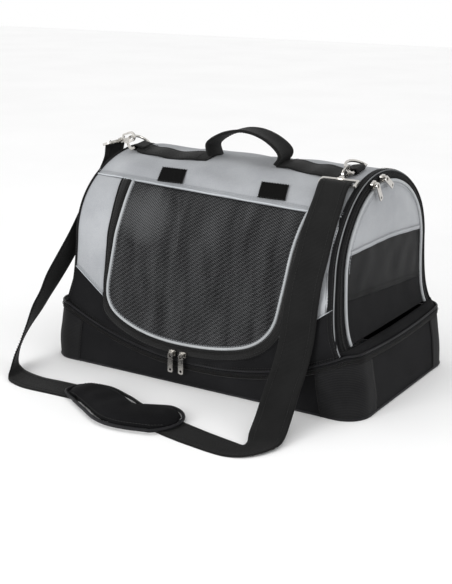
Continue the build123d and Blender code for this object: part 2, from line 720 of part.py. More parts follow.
BASE_ZIP_Z = RIM_HEIGHT - ZIP_MIDDLE - 2
base_zip = Plane(origin=(60, RIM_DEPTH / 2 + 0.7, BASE_ZIP_Z), x_dir=(-1, 0, 0), z_dir=(0, 1, 0))
save(slider(base_zip), "base_slider")
base_hang = Plane(origin=(60, RIM_DEPTH / 2 + 8.5, BASE_ZIP_Z - 1), x_dir=(-1, 0, 0), z_dir=(0, 1, 0))
save(pull(base_hang), "base_pull")
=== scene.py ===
"""Looks of a soft pet carrier bag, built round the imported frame. Lengths are in metres."""
import math

import bpy
import numpy as np
from mathutils import Matrix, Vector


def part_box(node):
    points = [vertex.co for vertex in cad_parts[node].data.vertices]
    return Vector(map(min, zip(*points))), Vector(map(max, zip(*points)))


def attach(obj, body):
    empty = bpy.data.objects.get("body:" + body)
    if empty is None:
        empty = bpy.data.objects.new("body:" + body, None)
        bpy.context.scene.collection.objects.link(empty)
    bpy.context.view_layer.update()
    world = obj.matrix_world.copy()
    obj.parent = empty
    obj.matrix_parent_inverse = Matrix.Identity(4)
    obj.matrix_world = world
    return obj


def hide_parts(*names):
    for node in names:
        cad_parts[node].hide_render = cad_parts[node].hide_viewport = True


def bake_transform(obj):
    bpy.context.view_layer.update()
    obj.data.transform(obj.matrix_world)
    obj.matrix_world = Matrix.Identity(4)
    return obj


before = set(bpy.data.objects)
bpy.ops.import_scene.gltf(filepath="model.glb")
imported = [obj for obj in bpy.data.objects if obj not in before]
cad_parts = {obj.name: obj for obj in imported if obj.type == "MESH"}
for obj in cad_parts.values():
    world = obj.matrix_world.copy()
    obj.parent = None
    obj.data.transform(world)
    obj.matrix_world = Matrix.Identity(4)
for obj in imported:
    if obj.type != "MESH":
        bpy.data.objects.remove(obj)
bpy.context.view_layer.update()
MM = 0.001

# ---------------------------------------------------------------- sizes read from the frame
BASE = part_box("base_floor")[1]                  # half length and half depth of the tub's floor
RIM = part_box("rim_roll")[1]                     # half length and half depth of the rim, and its height
RIM_TOP = RIM.z
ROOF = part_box("top_panel")[1].z
END_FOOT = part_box("end_frame_right")[1].x - 4 * MM
WEB_Y = -22 * MM
MAT_LOW, MAT_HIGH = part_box("base_mat")

CORNER = 35 * MM
DIP = 50 * MM                                   # how far the front rim dips
DIP_SHIFT = 8 * MM
DIP_HALF = 216 * MM
SPRING = 181 * MM                               # where the side walls turn into the arch
ARCH_HALF = 139 * MM
ARCH_RISE = ROOF - SPRING
FOOT_HALF = 151 * MM
FOOT_LOW = 34 * MM
END_HALF = 203.5 * MM
STRAP_WIDE = 45 * MM
WEBBING_WIDE = 40 * MM
HEM_HEIGHT = 258.5 * MM                         # height of the front hem at the middle
HEM_FALL = 0.033                                # how much it drops from left to right
LEFT_SLACK = 3 * MM                             # how far the left end sinks in more than the right
BACK_SEAM = 142 * MM                            # height of the seam between grey and black at the back
CLOTH_THICK = 1.6 * MM
PILE_THICK = 1.4 * MM


# ---------------------------------------------------------------- camera
def camera():
    """Three-quarter view from the right, a little above, at the lens the product shot has."""
    azimuth, elevation, roll = math.radians(31.71), math.radians(16.18), math.radians(0.445)
    distance, aim_height, aim_right, aim_up = 1.64527, 0.150, -0.03426, -0.04907
    forward = np.array([-math.sin(azimuth) * math.cos(elevation), math.cos(azimuth) * math.cos(elevation),
                        -math.sin(elevation)])
    level = np.array([math.cos(azimuth), math.sin(azimuth), 0])
    up = np.cross(level, forward)
    right = level * math.cos(roll) + up * math.sin(roll)
    above = -level * math.sin(roll) + up * math.cos(roll)
    matrix = np.eye(4)
    matrix[:3, :3] = np.stack([right, above, -forward], 1)
    matrix[:3, 3] = np.array([0, 0, aim_height]) + right * aim_right + above * aim_up - forward * distance
    data = bpy.data.cameras.new("camera")
    data.sensor_fit = "AUTO"
    data.sensor_width = 36
    data.lens = 71.14
    data.clip_end = 50
    lens = bpy.data.objects.new("camera", data)
    bpy.context.scene.collection.objects.link(lens)
    lens.matrix_world = Matrix(matrix.tolist())
    bpy.context.scene.camera = lens


camera()


# ---------------------------------------------------------------- number helpers
def smooth_path(points, step):
    """Even points along a smooth curve through given points, any number of columns."""
    pts = np.asarray(points, float)
    ext = np.vstack([2 * pts[:1] - pts[1:2], pts, 2 * pts[-1:] - pts[-2:-1]])
    t = np.linspace(0, 1, 24, endpoint=False)[:, None]
    parts = []
    for a, b, c, d in zip(ext, ext[1:], ext[2:], ext[3:]):
        parts.append(0.5 * (2 * b + (c - a) * t + (2 * a - 5 * b + 4 * c - d) * t**2
                            + (3 * b - a - 3 * c + d) * t**3))
    parts.append(ext[-2][None])
    return even(np.vstack(parts), step)


def lengths_along(line):
    """Distance from the start of a line to each of its points."""
    return np.concatenate([[0], np.cumsum(np.linalg.norm(np.diff(line, axis=0), axis=1))])


def total_length(line):
    """Length of a line of points."""
    return np.linalg.norm(np.diff(line, axis=0), axis=1).sum()


def even(line, step, closed=False):
    """The same line with its points step apart."""
    line = np.asarray(line, float)
    if closed:
        line = np.vstack([line, line[:1]])
    along = lengths_along(line[:, :3])
    count = max(2, int(round(along[-1] / step)))
    at = np.linspace(0, along[-1], count + 1)
    if closed:
        at = at[:-1]
    return np.stack([np.interp(at, along, line[:, k]) for k in range(line.shape[1])], 1)


def resample(line, count):
    """The same line cut into count even steps."""
    return even(line, total_length(line) / count)[:count + 1]


def between(first, last, count):
    """Rows of points from one line to another that is in step with it, and each row's share of the way."""
    share = np.linspace(0, 1, count)[:, None, None]
    return first[None] * (1 - share) + last[None] * share, share[..., 0]


def unit(vectors):
    """Vectors of length one."""
    return vectors / np.maximum(np.linalg.norm(vectors, axis=-1, keepdims=True), 1e-12)


def ripple(points, size, seed):
    """Smooth bumps from -1 to 1, size metres across, the same each run."""
    source = np.random.default_rng(seed)
    flat = np.asarray(points, float)
    total = np.zeros(flat.shape[:-1])
    for _ in range(7):
        direction = unit(source.normal(size=flat.shape[-1]))
        total += np.sin(flat @ direction * (6.3 / size) * source.uniform(0.6, 1.5) + source.uniform(0, 6.3))
    return total / 4


def grid_normals(points):
    """Normals of a grid of points, by its row and column directions."""
    return unit(np.cross(np.gradient(points, axis=1), np.gradient(points, axis=0)))


# ---------------------------------------------------------------- mesh helpers
WELD_REACH = 0.02 * MM
TUBE_SIDES = 10
STITCH_PITCH = 4 * MM
STITCH_LIFT = 0.3 * MM
STITCH_SIZES = (STITCH_PITCH * 0.34, 0.35 * MM, 0.35 * MM)   # half sizes along, across and up
TOOTH_PITCH = 1.9 * MM
TOOTH_REACH = 2.1 * MM
TOOTH_LIFT = 0.7 * MM
TOOTH_SIZES = (TOOTH_PITCH * 0.2, TOOTH_REACH * 0.62, 0.75 * MM)


def finish_object(name, mesh, material, body, lining=None):
    """Puts a mesh in the scene as a smooth piece with its material, its lining if one is given, and its body.
    """
    mesh.materials.append(material)
    if lining:
        mesh.materials.append(lining)
    mesh.polygons.foreach_set("use_smooth", [True] * len(mesh.polygons))
    piece = bpy.data.objects.new(name, mesh)
    bpy.context.scene.collection.objects.link(piece)
    if body:
        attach(piece, body)
    return piece


def add_uv(mesh, uv):
    """UV map in metres, one pair for each vertex."""
    layer = mesh.uv_layers.new(name="UVMap")
    loops = np.zeros(len(mesh.loops), np.int64)
    mesh.loops.foreach_get("vertex_index", loops)
    layer.data.foreach_set("uv", np.asarray(uv, float)[loops].ravel())


def quads(index):
    """Faces between the rows and columns of a grid of vertex numbers."""
    return np.stack([index[:-1, :-1], index[:-1, 1:], index[1:, 1:], index[1:, :-1]], 2).reshape(-1, 4)


def grid(name, points, material, body, thick=0, closed=False, outward=(0, 0, 0.13), lining=None,
         subdivide=0, uv=None, offset=-1):
    """Sheet from a grid of points. Its face looks away from the point outward, unless that is None."""
    rows, cols = points.shape[:2]
    if closed:
        points = np.concatenate([points, points[:, :1]], 1)
        cols += 1
    if uv is None:
        steps_u = np.linalg.norm(np.diff(points, axis=1), axis=2).mean(0)
        steps_v = np.linalg.norm(np.diff(points, axis=0), axis=2)
        u = np.concatenate([[0], np.cumsum(steps_u)])[None].repeat(rows, 0)
        v = np.concatenate([np.zeros((1, cols)), np.cumsum(steps_v, 0)])
        uv = np.stack([u, v - v.mean()], 2)
    faces = quads(np.arange(rows * cols).reshape(rows, cols))
    flat = points.reshape(-1, 3)
    if outward is not None:
        a, b, d = flat[faces[:, 0]], flat[faces[:, 1]], flat[faces[:, 3]]
        side = np.einsum("ij,ij->i", np.cross(b - a, d - a), flat[faces].mean(1) - np.array(outward))
        if side.sum() < 0:
            faces = faces[:, ::-1]
    mesh = bpy.data.meshes.new(name)
    mesh.from_pydata(flat.tolist(), [], faces.tolist())
    add_uv(mesh, uv.reshape(-1, 2))
    piece = finish_object(name, mesh, material, body, lining)
    if closed:
        weld = piece.modifiers.new("weld", "WELD")
        weld.merge_threshold = WELD_REACH
    if subdivide:
        modifier = piece.modifiers.new("smooth", "SUBSURF")
        modifier.levels = modifier.render_levels = subdivide
    if thick:
        modifier = piece.modifiers.new("cloth", "SOLIDIFY")
        modifier.thickness = thick
        modifier.offset = offset
        modifier.use_even_offset = False
        if lining:
            modifier.material_offset = 1
    return piece


def frames(path, closed, hint):
    """Two steady directions across a path. The first stays square to the hint where there is one."""
    if closed:
        tangent = unit(np.roll(path, -1, 0) - np.roll(path, 1, 0))
    else:
        tangent = unit(np.gradient(path, axis=0))
    if hint is not None:
        side = unit(np.cross(tangent, np.broadcast_to(hint, path.shape)))
        return side, np.cross(side, tangent)
    side = np.zeros_like(path)
    start = np.array([0, 0, 1.0]) if abs(tangent[0][2]) < 0.9 else np.array([1.0, 0, 0])
    side[0] = unit(np.cross(tangent[0], start))
    for k in range(1, len(path)):
        side[k] = unit(side[k - 1] - tangent[k] * (side[k - 1] @ tangent[k]))
    return side, np.cross(side, tangent)


def tube(name, path, radius, material, body, closed=False, squash=1.0, hint=None):
    """Round or oval bar along a path."""
    path = np.asarray(path, float)
    side, up = frames(path, closed, hint)
    angles = np.linspace(0, 2 * math.pi, TUBE_SIDES, endpoint=False)
    ring = (side[:, None] * np.cos(angles)[None, :, None]
            + up[:, None] * np.sin(angles)[None, :, None] * squash) * radius
    count = len(path)
    faces = []
    for k in range(count if closed else count - 1):
        here, there = k * TUBE_SIDES, (k + 1) % count * TUBE_SIDES
        for j in range(TUBE_SIDES):
            nxt = (j + 1) % TUBE_SIDES
            faces.append((here + j, there + j, there + nxt, here + nxt))
    if not closed:
        faces.append(tuple(range(TUBE_SIDES)))
        faces.append(tuple(reversed(range((count - 1) * TUBE_SIDES, count * TUBE_SIDES))))
    mesh = bpy.data.meshes.new(name)
    mesh.from_pydata((path[:, None] + ring).reshape(-1, 3).tolist(), [], faces)
    uv = np.stack(np.meshgrid(lengths_along(path), angles * radius, indexing="ij"), 2)
    add_uv(mesh, uv.reshape(-1, 2))
    return finish_object(name, mesh, material, body)


BRICK = np.array([(x, y, z) for x in (-1, 1) for y in (-1, 1) for z in (-1, 1)], float)
BRICK_FACES = [(0, 1, 3, 2), (4, 6, 7, 5), (0, 4, 5, 1), (2, 3, 7, 6), (0, 2, 6, 4), (1, 5, 7, 3)]


def bricks(name, places, material, body, taper=0.6):
    """Many small chamfered bits in one mesh. A place is (centre, along, side, up, half sizes)."""
    verts, faces = [], []
    for centre, along, side, up, (half_a, half_s, half_u) in places:
        start = len(verts)
        for x, y, z in BRICK:
            shrink = taper if z > 0 else 1
            point = centre + along * (x * half_a * shrink) + side * (y * half_s * shrink) + up * (z * half_u)
            verts.append(tuple(point))
        faces += [tuple(start + k for k in face) for face in BRICK_FACES]
    mesh = bpy.data.meshes.new(name)
    mesh.from_pydata(verts, [], faces)
    piece = finish_object(name, mesh, material, body)
    mesh.polygons.foreach_set("use_smooth", [False] * len(mesh.polygons))
    return piece


def seats(path, normals, pitch):
    """Even places along a path on a surface: point, direction along, across and up."""
    joined = even(np.hstack([path, np.broadcast_to(normals, path.shape)]), pitch)
    points, up = joined[:, :3], unit(joined[:, 3:])
    tangent = unit(np.gradient(points, axis=0))
    return zip(points, tangent, np.cross(up, tangent), up)


def stitch_places(path, normals):
    """Thread dashes along a path that lies on a surface with those normals."""
    return [(point + up * STITCH_LIFT, along, side, up, STITCH_SIZES)
            for point, along, side, up in seats(path, normals, STITCH_PITCH)]


def teeth_places(path, normals):
    """Zip coil: short bars across a path, in two rows that mesh."""
    places = []
    for number, (point, along, side, up) in enumerate(seats(path, normals, TOOTH_PITCH / 2)):
        turn = 1 if number % 2 else -1
        middle = point + side * (turn * TOOTH_REACH * 0.45) + up * TOOTH_LIFT
        places.append((middle, along, side, up, TOOTH_SIZES))
    return places


# ---------------------------------------------------------------- materials
class Nodes:
    """Short way to build a material's node tree."""

    def __init__(self, name):
        self.material = bpy.data.materials.new(name)
        self.material.use_nodes = True
        self.tree = self.material.node_tree
        self.shader = self.tree.nodes["Principled BSDF"]

    def add(self, kind, inputs=None, **settings):
        node = self.tree.nodes.new(kind)
        for key, value in settings.items():
            setattr(node, key, value)
        for key, value in (inputs or {}).items():
            if isinstance(value, bpy.types.NodeSocket):
                self.tree.links.new(value, node.inputs[key])
            else:
                node.inputs[key].default_value = value
        return node

    def math(self, operation, a, b=0.0, c=0.0):
        return self.add("ShaderNodeMath", {0: a, 1: b, 2: c}, operation=operation).outputs[0]

    def total(self, *parts):
        """Sum of (socket, weight) pairs."""
        whole = None
        for socket, weight in parts:
            part = socket if weight == 1 else self.math("MULTIPLY", socket, weight)
            whole = part if whole is None else self.math("ADD", whole, part)
        return whole

    def link(self, socket, key):
        self.tree.links.new(socket, self.shader.inputs[key])

    def rough(self, factor, weight, base):
        self.link(self.math("ADD", self.math("MULTIPLY", factor, weight), base), "Roughness")

    def plain(self, **values):
        """Uniform values on the shader's own sockets, with underscores for the spaces in their names."""
        for key, value in values.items():
            self.shader.inputs[key.replace("_", " ")].default_value = value

    def uv(self, turn=0.0, scale=(1, 1, 1)):
        place = self.add("ShaderNodeTexCoord").outputs["UV"]
        mapping = {"Vector": place, "Rotation": (0, 0, turn), "Scale": scale}
        return self.add("ShaderNodeMapping", mapping).outputs[0]

    def where(self, **placing):
        place = self.add("ShaderNodeTexCoord").outputs["Object"]
        if not placing:
            return place
        return self.add("ShaderNodeMapping", {"Vector": place, **placing}).outputs[0]

    def wave(self, vector, length, axis="X"):
        return self.add("ShaderNodeTexWave", {"Vector": vector, "Scale": 2 * math.pi / (20 * length)},
                        bands_direction=axis).outputs["Fac"]

    def noise(self, vector, size, detail=3.0):
        inputs = {"Vector": vector, "Scale": 1 / size, "Detail": detail}
        return self.add("ShaderNodeTexNoise", inputs).outputs["Fac"]

    def tint(self, factor, dark, light, low=0.3, high=0.7):
        ramp = self.add("ShaderNodeValToRGB", {"Fac": factor})
        ramp.color_ramp.elements[0].position = low
        ramp.color_ramp.elements[0].color = (*dark, 1)
        ramp.color_ramp.elements[1].position = high
        ramp.color_ramp.elements[1].color = (*light, 1)
        return ramp.outputs["Color"]

    def bump(self, height, distance, strength=1.0):
        node = self.add("ShaderNodeBump", {"Height": height, "Distance": distance, "Strength": strength})
        self.link(node.outputs["Normal"], "Normal")


def woven(name, dark, light, thread, rough=0.8, sheen=0.2, sheen_rough=0.4, depth=0.12 * MM, fold=0.0):
    """Plain-woven cloth: crossing threads, fibre noise and slow changes of tone."""
    n = Nodes(name)
    uv = n.uv()
    weave = n.math("MULTIPLY", n.wave(uv, thread, "X"), n.wave(uv, thread, "Y"))
    fibre = n.noise(n.where(), 0.9 * MM, 2.0)
    slow = n.noise(n.where(), 60 * MM, 4.0)
    n.link(n.tint(n.total((weave, 0.30), (fibre, 0.30), (slow, 0.45)), dark, light, 0.30, 0.72), "Base Color")
    n.rough(fibre, 0.08, rough - 0.04)
    height = n.total((weave, 1), (fibre, 0.6))
    if fold:
        crease = n.noise(n.where(Scale=(1, 1, 0.45)), 34 * MM, 2.0)
        height = n.total((height, 1), (crease, fold))
    n.bump(height, depth)
    n.plain(Sheen_Weight=sheen, Sheen_Roughness=sheen_rough, Specular_IOR_Level=0.06)
    return n.material


HIGHLIGHT_REACH = 45 * MM                             # reach of the round painted highlight on the door mesh
MESH_TURN = 0.95                                # slant of the rows of holes, in radians
MESH_SQUEEZE = 1.9                              # how much wider a hole is than high


def open_mesh(name, thread_colour, glint, cell, see_through=0.35, highlight_at=None):
    """Heavy open mesh: slanted rows of small holes, a little see-through, its threads coloured from dark up
    to a painted glint by painted light and shade streaks on its folds, painted highlight bands along its rows
    and a round painted highlight where one is placed.
    """
    n = Nodes(name)
    holes = {"Vector": n.uv(MESH_TURN, (1, MESH_SQUEEZE, 1)), "Scale": 1 / cell, "Randomness": 0.12}
    cells = n.add("ShaderNodeTexVoronoi", holes, feature="DISTANCE_TO_EDGE").outputs["Distance"]
    # painted light and shade: slow streaks across the rows, standing for light caught by the mesh's folds
    folds = n.noise(n.uv(MESH_TURN, (1, 0.22, 1)), 26 * MM, 2.0)
    # painted highlight bands along the slanted rows
    rows = n.wave(n.uv(MESH_TURN), 5.2 * MM, "X")
    thread = n.math("SUBTRACT", 1.0, n.math("SMOOTH_MIN", n.math("MULTIPLY", cells, 3.4), 1.0, 0.2))
    light = n.total((folds, 1.1), (rows, 0.35))
    # a round painted highlight: brightest at a given point, fading out over its reach
    if highlight_at:
        near = n.where(Location=tuple(-place / HIGHLIGHT_REACH for place in highlight_at), Scale=(1 / HIGHLIGHT_REACH,) * 3)
        ball = n.add("ShaderNodeTexGradient", {"Vector": near}, gradient_type="SPHERICAL").outputs["Fac"]
        light = n.total((light, 1), (ball, 1.3))
    # threads go from their own dark colour up to a painted glint where the painted light is strong
    n.link(n.tint(n.math("MULTIPLY", thread, light), thread_colour, glint, 0.25, 0.95), "Base Color")
    cover = {"Value": thread, "From Min": 0.15, "From Max": 0.5, "To Min": 1 - see_through, "To Max": 1.0}
    n.link(n.add("ShaderNodeMapRange", cover).outputs[0], "Alpha")
    n.bump(thread, 0.4 * MM)
    n.plain(Roughness=0.5, Specular_IOR_Level=0.12)
    return n.material


def ribbed(name, dark, light, rib, rough=0.6, sheen=0.15, depth=0.25 * MM):
    """Webbing: ribs across the band and fine threads along it."""
    n = Nodes(name)
    uv = n.uv()
    ribs = n.wave(uv, rib, "Y")
    threads = n.wave(uv, 1.4 * MM, "X")
    fibre = n.noise(n.where(), 0.8 * MM, 2.0)
    slow = n.noise(n.where(), 40 * MM, 3.0)
    n.link(n.tint(n.total((ribs, 0.35), (fibre, 0.25), (slow, 0.4)), dark, light), "Base Color")
    n.rough(fibre, 0.2, rough - 0.1)
    n.bump(n.total((ribs, 1), (threads, 0.4)), depth)
    n.plain(Sheen_Weight=sheen, Specular_IOR_Level=0.06)
    return n.material


def plated(name, colour):
    """Bright nickel plate with hairline scratches and faint smudges."""
    n = Nodes(name)
    smudge = n.noise(n.where(), 4 * MM, 4.0)
    hair = n.noise(n.where(Scale=(1, 1, 12)), 1.2 * MM, 2.0)
    n.link(n.tint(smudge, tuple(0.8 * c for c in colour), colour), "Base Color")
    n.rough(smudge, 0.22, 0.16 - 0.05)
    n.bump(hair, 0.05 * MM, 0.5)
    n.plain(Metallic=1.0)
    return n.material


def soft_plain(name, dark, light, size, rough=0.9, sheen=0.0, depth=0.4 * MM, gloss=0.1):
    """Pile, felt or moulded board: fine grain only."""
    n = Nodes(name)
    grain = n.noise(n.where(), size, 5.0)
    n.link(n.tint(grain, dark, light), "Base Color")
    n.rough(grain, 0.15, rough - 0.1)
    n.bump(grain, depth)
    n.plain(Sheen_Weight=sheen, Specular_IOR_Level=gloss)
    return n.material


GREY = woven("grey_polyester", (0.26, 0.27, 0.285), (0.42, 0.43, 0.445), 0.9 * MM, 0.85, 0.08, 0.5, 0.10 * MM,
             fold=5.0)
BLACK = woven("black_polyester", (0.005, 0.005, 0.0055), (0.014, 0.014, 0.015), 1.0 * MM, 0.75, 0.02, 0.4,
              0.16 * MM, fold=2.0)
BAND = woven("black_band", (0.004, 0.004, 0.0045), (0.012, 0.012, 0.0125), 0.8 * MM, 0.65, 0.02, 0.4,
             0.14 * MM)
CORNER_CLOTH = ribbed("ribbed_corner", (0.004, 0.004, 0.0045), (0.014, 0.014, 0.0145), 2.2 * MM, 0.6, 0.03)
LINING = woven("black_lining", (0.006, 0.006, 0.007), (0.014, 0.014, 0.015), 1.2 * MM, 0.85, 0.02)
PIPING = woven("light_piping", (0.30, 0.31, 0.32), (0.48, 0.50, 0.51), 0.7 * MM, 0.6, 0.1)
DULL_PIPING = woven("dull_piping", (0.12, 0.125, 0.13), (0.24, 0.245, 0.25), 0.7 * MM, 0.6, 0.0)
HEM = woven("light_hem", (0.34, 0.36, 0.38), (0.54, 0.56, 0.58), 0.8 * MM, 0.75, 0.1)
# the door mesh has a round painted highlight towards its upper left
MESH = open_mesh("door_mesh", (0.004, 0.004, 0.0045), (0.095, 0.097, 0.10), 3.4 * MM,
                 highlight_at=(-92 * MM, -128 * MM, 226 * MM))
END_MESH = open_mesh("end_mesh", (0.003, 0.003, 0.0035), (0.022, 0.0225, 0.023), 2.6 * MM, 0.1)
TAPE = ribbed("zip_tape", (0.006, 0.006, 0.006), (0.018, 0.018, 0.018), 1.0 * MM, rough=0.7, depth=0.12 * MM)
COIL = soft_plain("zip_coil", (0.006, 0.006, 0.006), (0.020, 0.019, 0.019), 0.8 * MM, 0.4, 0.0, 0.05 * MM,
                  gloss=0.3)
WEBBING = ribbed("black_webbing", (0.004, 0.004, 0.004), (0.013, 0.013, 0.013), 1.6 * MM, sheen=0.04)
PAD_CLOTH = woven("pad_cloth", (0.004, 0.004, 0.0045), (0.012, 0.012, 0.013), 1.1 * MM, 0.80, 0.02, 0.4,
                  0.2 * MM)
PILE = soft_plain("hook_and_loop_pile", (0.002, 0.002, 0.002), (0.009, 0.009, 0.009), 0.7 * MM, 0.95, 0.0,
                  0.5 * MM, gloss=0.03)
PLUSH = soft_plain("grey_plush", (0.30, 0.31, 0.33), (0.52, 0.53, 0.55), 2.2 * MM, 0.95, 0.5, 0.8 * MM)
BOARD = soft_plain("matt_board", (0.05, 0.05, 0.055), (0.09, 0.09, 0.095), 0.6 * MM, 0.7, 0.0, 0.05 * MM)
NICKEL = plated("bright_nickel", (0.60, 0.58, 0.55))
THREAD_LIGHT = soft_plain("grey_thread", (0.22, 0.23, 0.25), (0.34, 0.35, 0.36), 0.6 * MM, 0.7, 0.1,
                          0.05 * MM)
THREAD_DARK = soft_plain("black_thread", (0.010, 0.010, 0.010), (0.032, 0.032, 0.032), 0.6 * MM, 0.5, 0.0,
                         0.05 * MM)
GLOSS_PIPING = woven("gloss_piping", (0.008, 0.008, 0.009), (0.03, 0.03, 0.032), 0.8 * MM, 0.32, 0.0)

stitches = {}


def sew(body, path, normals, thread=THREAD_DARK):
    """Collects a line of stitches, made into one mesh for each body and thread at the end."""
    stitches.setdefault((body, thread.name), []).extend(stitch_places(path, normals))


# ---------------------------------------------------------------- the tub
PER_SIDE = 46                                   # vertices along the front of every outline of the tub
PER_CORNER = 12


def rounded_outline(half_x, half_y, radius):
    """Closed outline from the front left corner, counter-clockwise, its vertices in step for every size."""
    straight_x, straight_y = half_x - radius, half_y - radius
    sides = [((-straight_x, -half_y), (straight_x, -half_y), (straight_x, -straight_y), -90, PER_SIDE),
             ((half_x, -straight_y), (half_x, straight_y), (straight_x, straight_y), 0, PER_SIDE // 2),
             ((straight_x, half_y), (-straight_x, half_y), (-straight_x, straight_y), 90, PER_SIDE),
             ((-half_x, straight_y), (-half_x, -straight_y), (-straight_x, -straight_y), 180, PER_SIDE // 2)]
    line = []
    for start, end, centre, angle, count in sides:
        for share in np.linspace(0, 1, count, endpoint=False):
            line.append(np.array(start) * (1 - share) + np.array(end) * share)
        for share in np.linspace(0, 1, PER_CORNER, endpoint=False):
            turn = math.radians(angle + 90 * share)
            line.append(np.array(centre) + radius * np.array([math.cos(turn), math.sin(turn)]))
    return np.array(line)


def rim_height(xy):
    """Height of the rim: a deep dip along the front, shallow ones at the ends."""
    x, y = xy[:, 0], xy[:, 1]
    share = np.clip(np.abs(x - DIP_SHIFT) / DIP_HALF, 0, 1)
    front = np.clip(-(y + RIM.y - CORNER) / CORNER, 0, 1)
    dip = DIP * (1 - share**2.1) * (y < -RIM.y + 0.6 * CORNER)
    end = np.clip(1 - (y / (RIM.y - CORNER)) ** 2, 0, 1) * (np.abs(x) > RIM.x - CORNER)
    return RIM_TOP - dip * np.maximum(front, 0.999 * (dip > 0)) - 5 * MM * end


def rim_ring(out=0.0, below=0.0):
    """Closed line that follows the rim, moved outwards and down."""
    flat = rounded_outline(RIM.x - 3 * MM + out, RIM.y - 3 * MM + out, CORNER + out)
    height = rim_height(rounded_outline(RIM.x - 3 * MM, RIM.y - 3 * MM, CORNER)) - below
    drafted = (BASE.x - RIM.x) * np.clip(1 - height / RIM_TOP, 0, 1)
    flat[:, 0] += np.sign(flat[:, 0]) * drafted * np.clip(np.abs(flat[:, 0]) / RIM.x, 0, 1) ** 3
    return np.hstack([flat, height[:, None]])


def ring_normals(ring):
    """Level directions that point out of a closed ring."""
    along = unit(np.roll(ring, -1, 0) - np.roll(ring, 1, 0))
    return unit(np.cross(along, [0, 0, 1.0]))


def tub_wall():
    """Wall of the tub, a little slack between its floor and the zip. Returns its rows, from the floor up."""
    zip_bottom = 9.4 * MM
    top = rim_ring(-0.5 * MM, zip_bottom)
    foot = np.hstack([rounded_outline(BASE.x - 1 * MM, BASE.y - 1 * MM, CORNER), np.zeros((len(top), 1))])
    outward = ring_normals(foot)
    rows = []
    for share in np.linspace(0, 1, 14):
        row = foot * (1 - share) + top * share
        middle = math.sin(math.pi * share)
        swell = 1.6 * MM * middle - 1.5 * MM * (1 - share) ** 6
        slack = ripple(row * [1, 1, 2.2], 0.09, 5) * 0.9 * MM * middle
        rows.append(row + outward * (swell + slack)[:, None])
    rows = np.array(rows)
    wall = grid("tub_wall", rows, BLACK, "base", 2.4 * MM, closed=True, outward=(0, 0, 0.04),
                lining=LINING, subdivide=1)
    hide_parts("base_wall")
    return rows


wall_rows = tub_wall()


def corner_panels(rows):
    """Ribbed skins sewn over the tub's corners, each with a seam at its edges."""
    outward = ring_normals(rows[0])
    start = 0
    for number, name in enumerate(("front_right", "back_right", "back_left", "front_left")):
        start += PER_SIDE // (1 + number % 2)
        span = [k % len(outward) for k in range(start - 2, start + PER_CORNER + 3)]
        start += PER_CORNER
        patch = rows[:, span] + outward[span] * 1.0 * MM
        for edge in (0, -1):
            sew("base", patch[:, edge], outward[span][edge])
        panel = grid(f"corner_panel_{name}", patch, CORNER_CLOTH, "base", 0.9 * MM,
                     outward=(0, 0, 0.04), subdivide=1)
        if number == 0:
            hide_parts("base_corner_panels")


corner_panels(wall_rows)


def tub_floor():
    """Floor of the tub, with a welt round its edge."""
    rows = []
    for share in np.linspace(1, 0.02, 9):
        ring = rounded_outline((BASE.x - 2 * MM) * share, (BASE.y - 2 * MM) * share, CORNER * share)
        height = 0.4 * MM + 1.5 * MM * max(0, share - 0.92) / 0.08
        rows.append(np.hstack([ring, np.full((len(ring), 1), height)]))
    floor = grid("tub_floor", np.array(rows), BLACK, "base", 2 * MM, closed=True,
                 outward=(0, 0, 1))
    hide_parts("base_floor")
    seam = wall_rows[0] + ring_normals(wall_rows[0]) * 0.4 * MM + [0, 0, 2.2 * MM]
    tube("tub_floor_welt", seam, 1.7 * MM, GLOSS_PIPING, "base", closed=True)


tub_floor()


def perimeter_zip():
    """Both halves of the zip round the tub, with the coil in the gap."""
    halves = (("lower", "base", 7.2, 9.8), ("upper", "upper", 4.4, 6.9))   # millimetres below the rim
    for half, body, high, low in halves:
        rows = []
        for below, bulge in zip(np.linspace(high, low, 4), (0, 0.8, 0.8, 0)):
            row = rim_ring(-0.2 * MM, below * MM)
            rows.append(row + ring_normals(row) * bulge * MM)
        band = grid(f"zip_band_{half}", np.array(rows), TAPE, body, 2 * MM, closed=True,
                    outward=(0, 0, 0.04))
        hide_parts(f"base_zip_{half}")
    line = rim_ring(0.2 * MM, 7.05 * MM)
    bricks("zip_coil_base", teeth_places(line, ring_normals(line)), COIL, "base")


perimeter_zip()


def rim_edge():
    """The bound roll along the rim, with a gloss piping above it at the ends and back."""
    profile = [(0.0, 4.8), (1.5, 4.2), (2.2, 2.8), (1.9, 1.2), (0.4, 0.2), (-2.6, 0.0)]
    rows = [rim_ring(out * MM, below * MM) for out, below in profile]
    for row in rows:
        row[:, 2] += ripple(row, 0.05, 9) * 0.25 * MM
    roll = grid("rim_roll_cover", np.array(rows), BAND, "upper", 1.2 * MM, closed=True,
                outward=(0, 0, 0.04), subdivide=1)
    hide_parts("rim_roll")
    line = rim_ring(0.6 * MM, -1.0 * MM)
    tube("rim_piping", line, 1.6 * MM, GLOSS_PIPING, "upper", closed=True)
    sewn = rim_ring(2.2 * MM, 3.6 * MM)
    sew("upper", sewn, ring_normals(sewn))


rim_edge()


# ---------------------------------------------------------------- the arched cabin
def section_table():
    """Cross-section of the cabin's front half: distances from the crown, points (y, z) and their normals."""
    angles = np.linspace(math.pi / 2, 0, 160)
    arch = np.stack([-ARCH_HALF * np.cos(angles), SPRING + ARCH_RISE * np.sin(angles)], 1)
    wall_z = np.linspace(SPRING, FOOT_LOW - 6 * MM, 60)[1:]
    wall_y = -(FOOT_HALF + (ARCH_HALF - FOOT_HALF) * (wall_z - FOOT_LOW) / (SPRING - FOOT_LOW))
    line = np.vstack([arch, np.stack([wall_y, wall_z], 1)])
    tangent = unit(np.gradient(line, axis=0))
    return lengths_along(line), line, np.stack([tangent[:, 1], -tangent[:, 0]], 1)


SECTION_S, SECTION_LINE, SECTION_NORMAL = section_table()


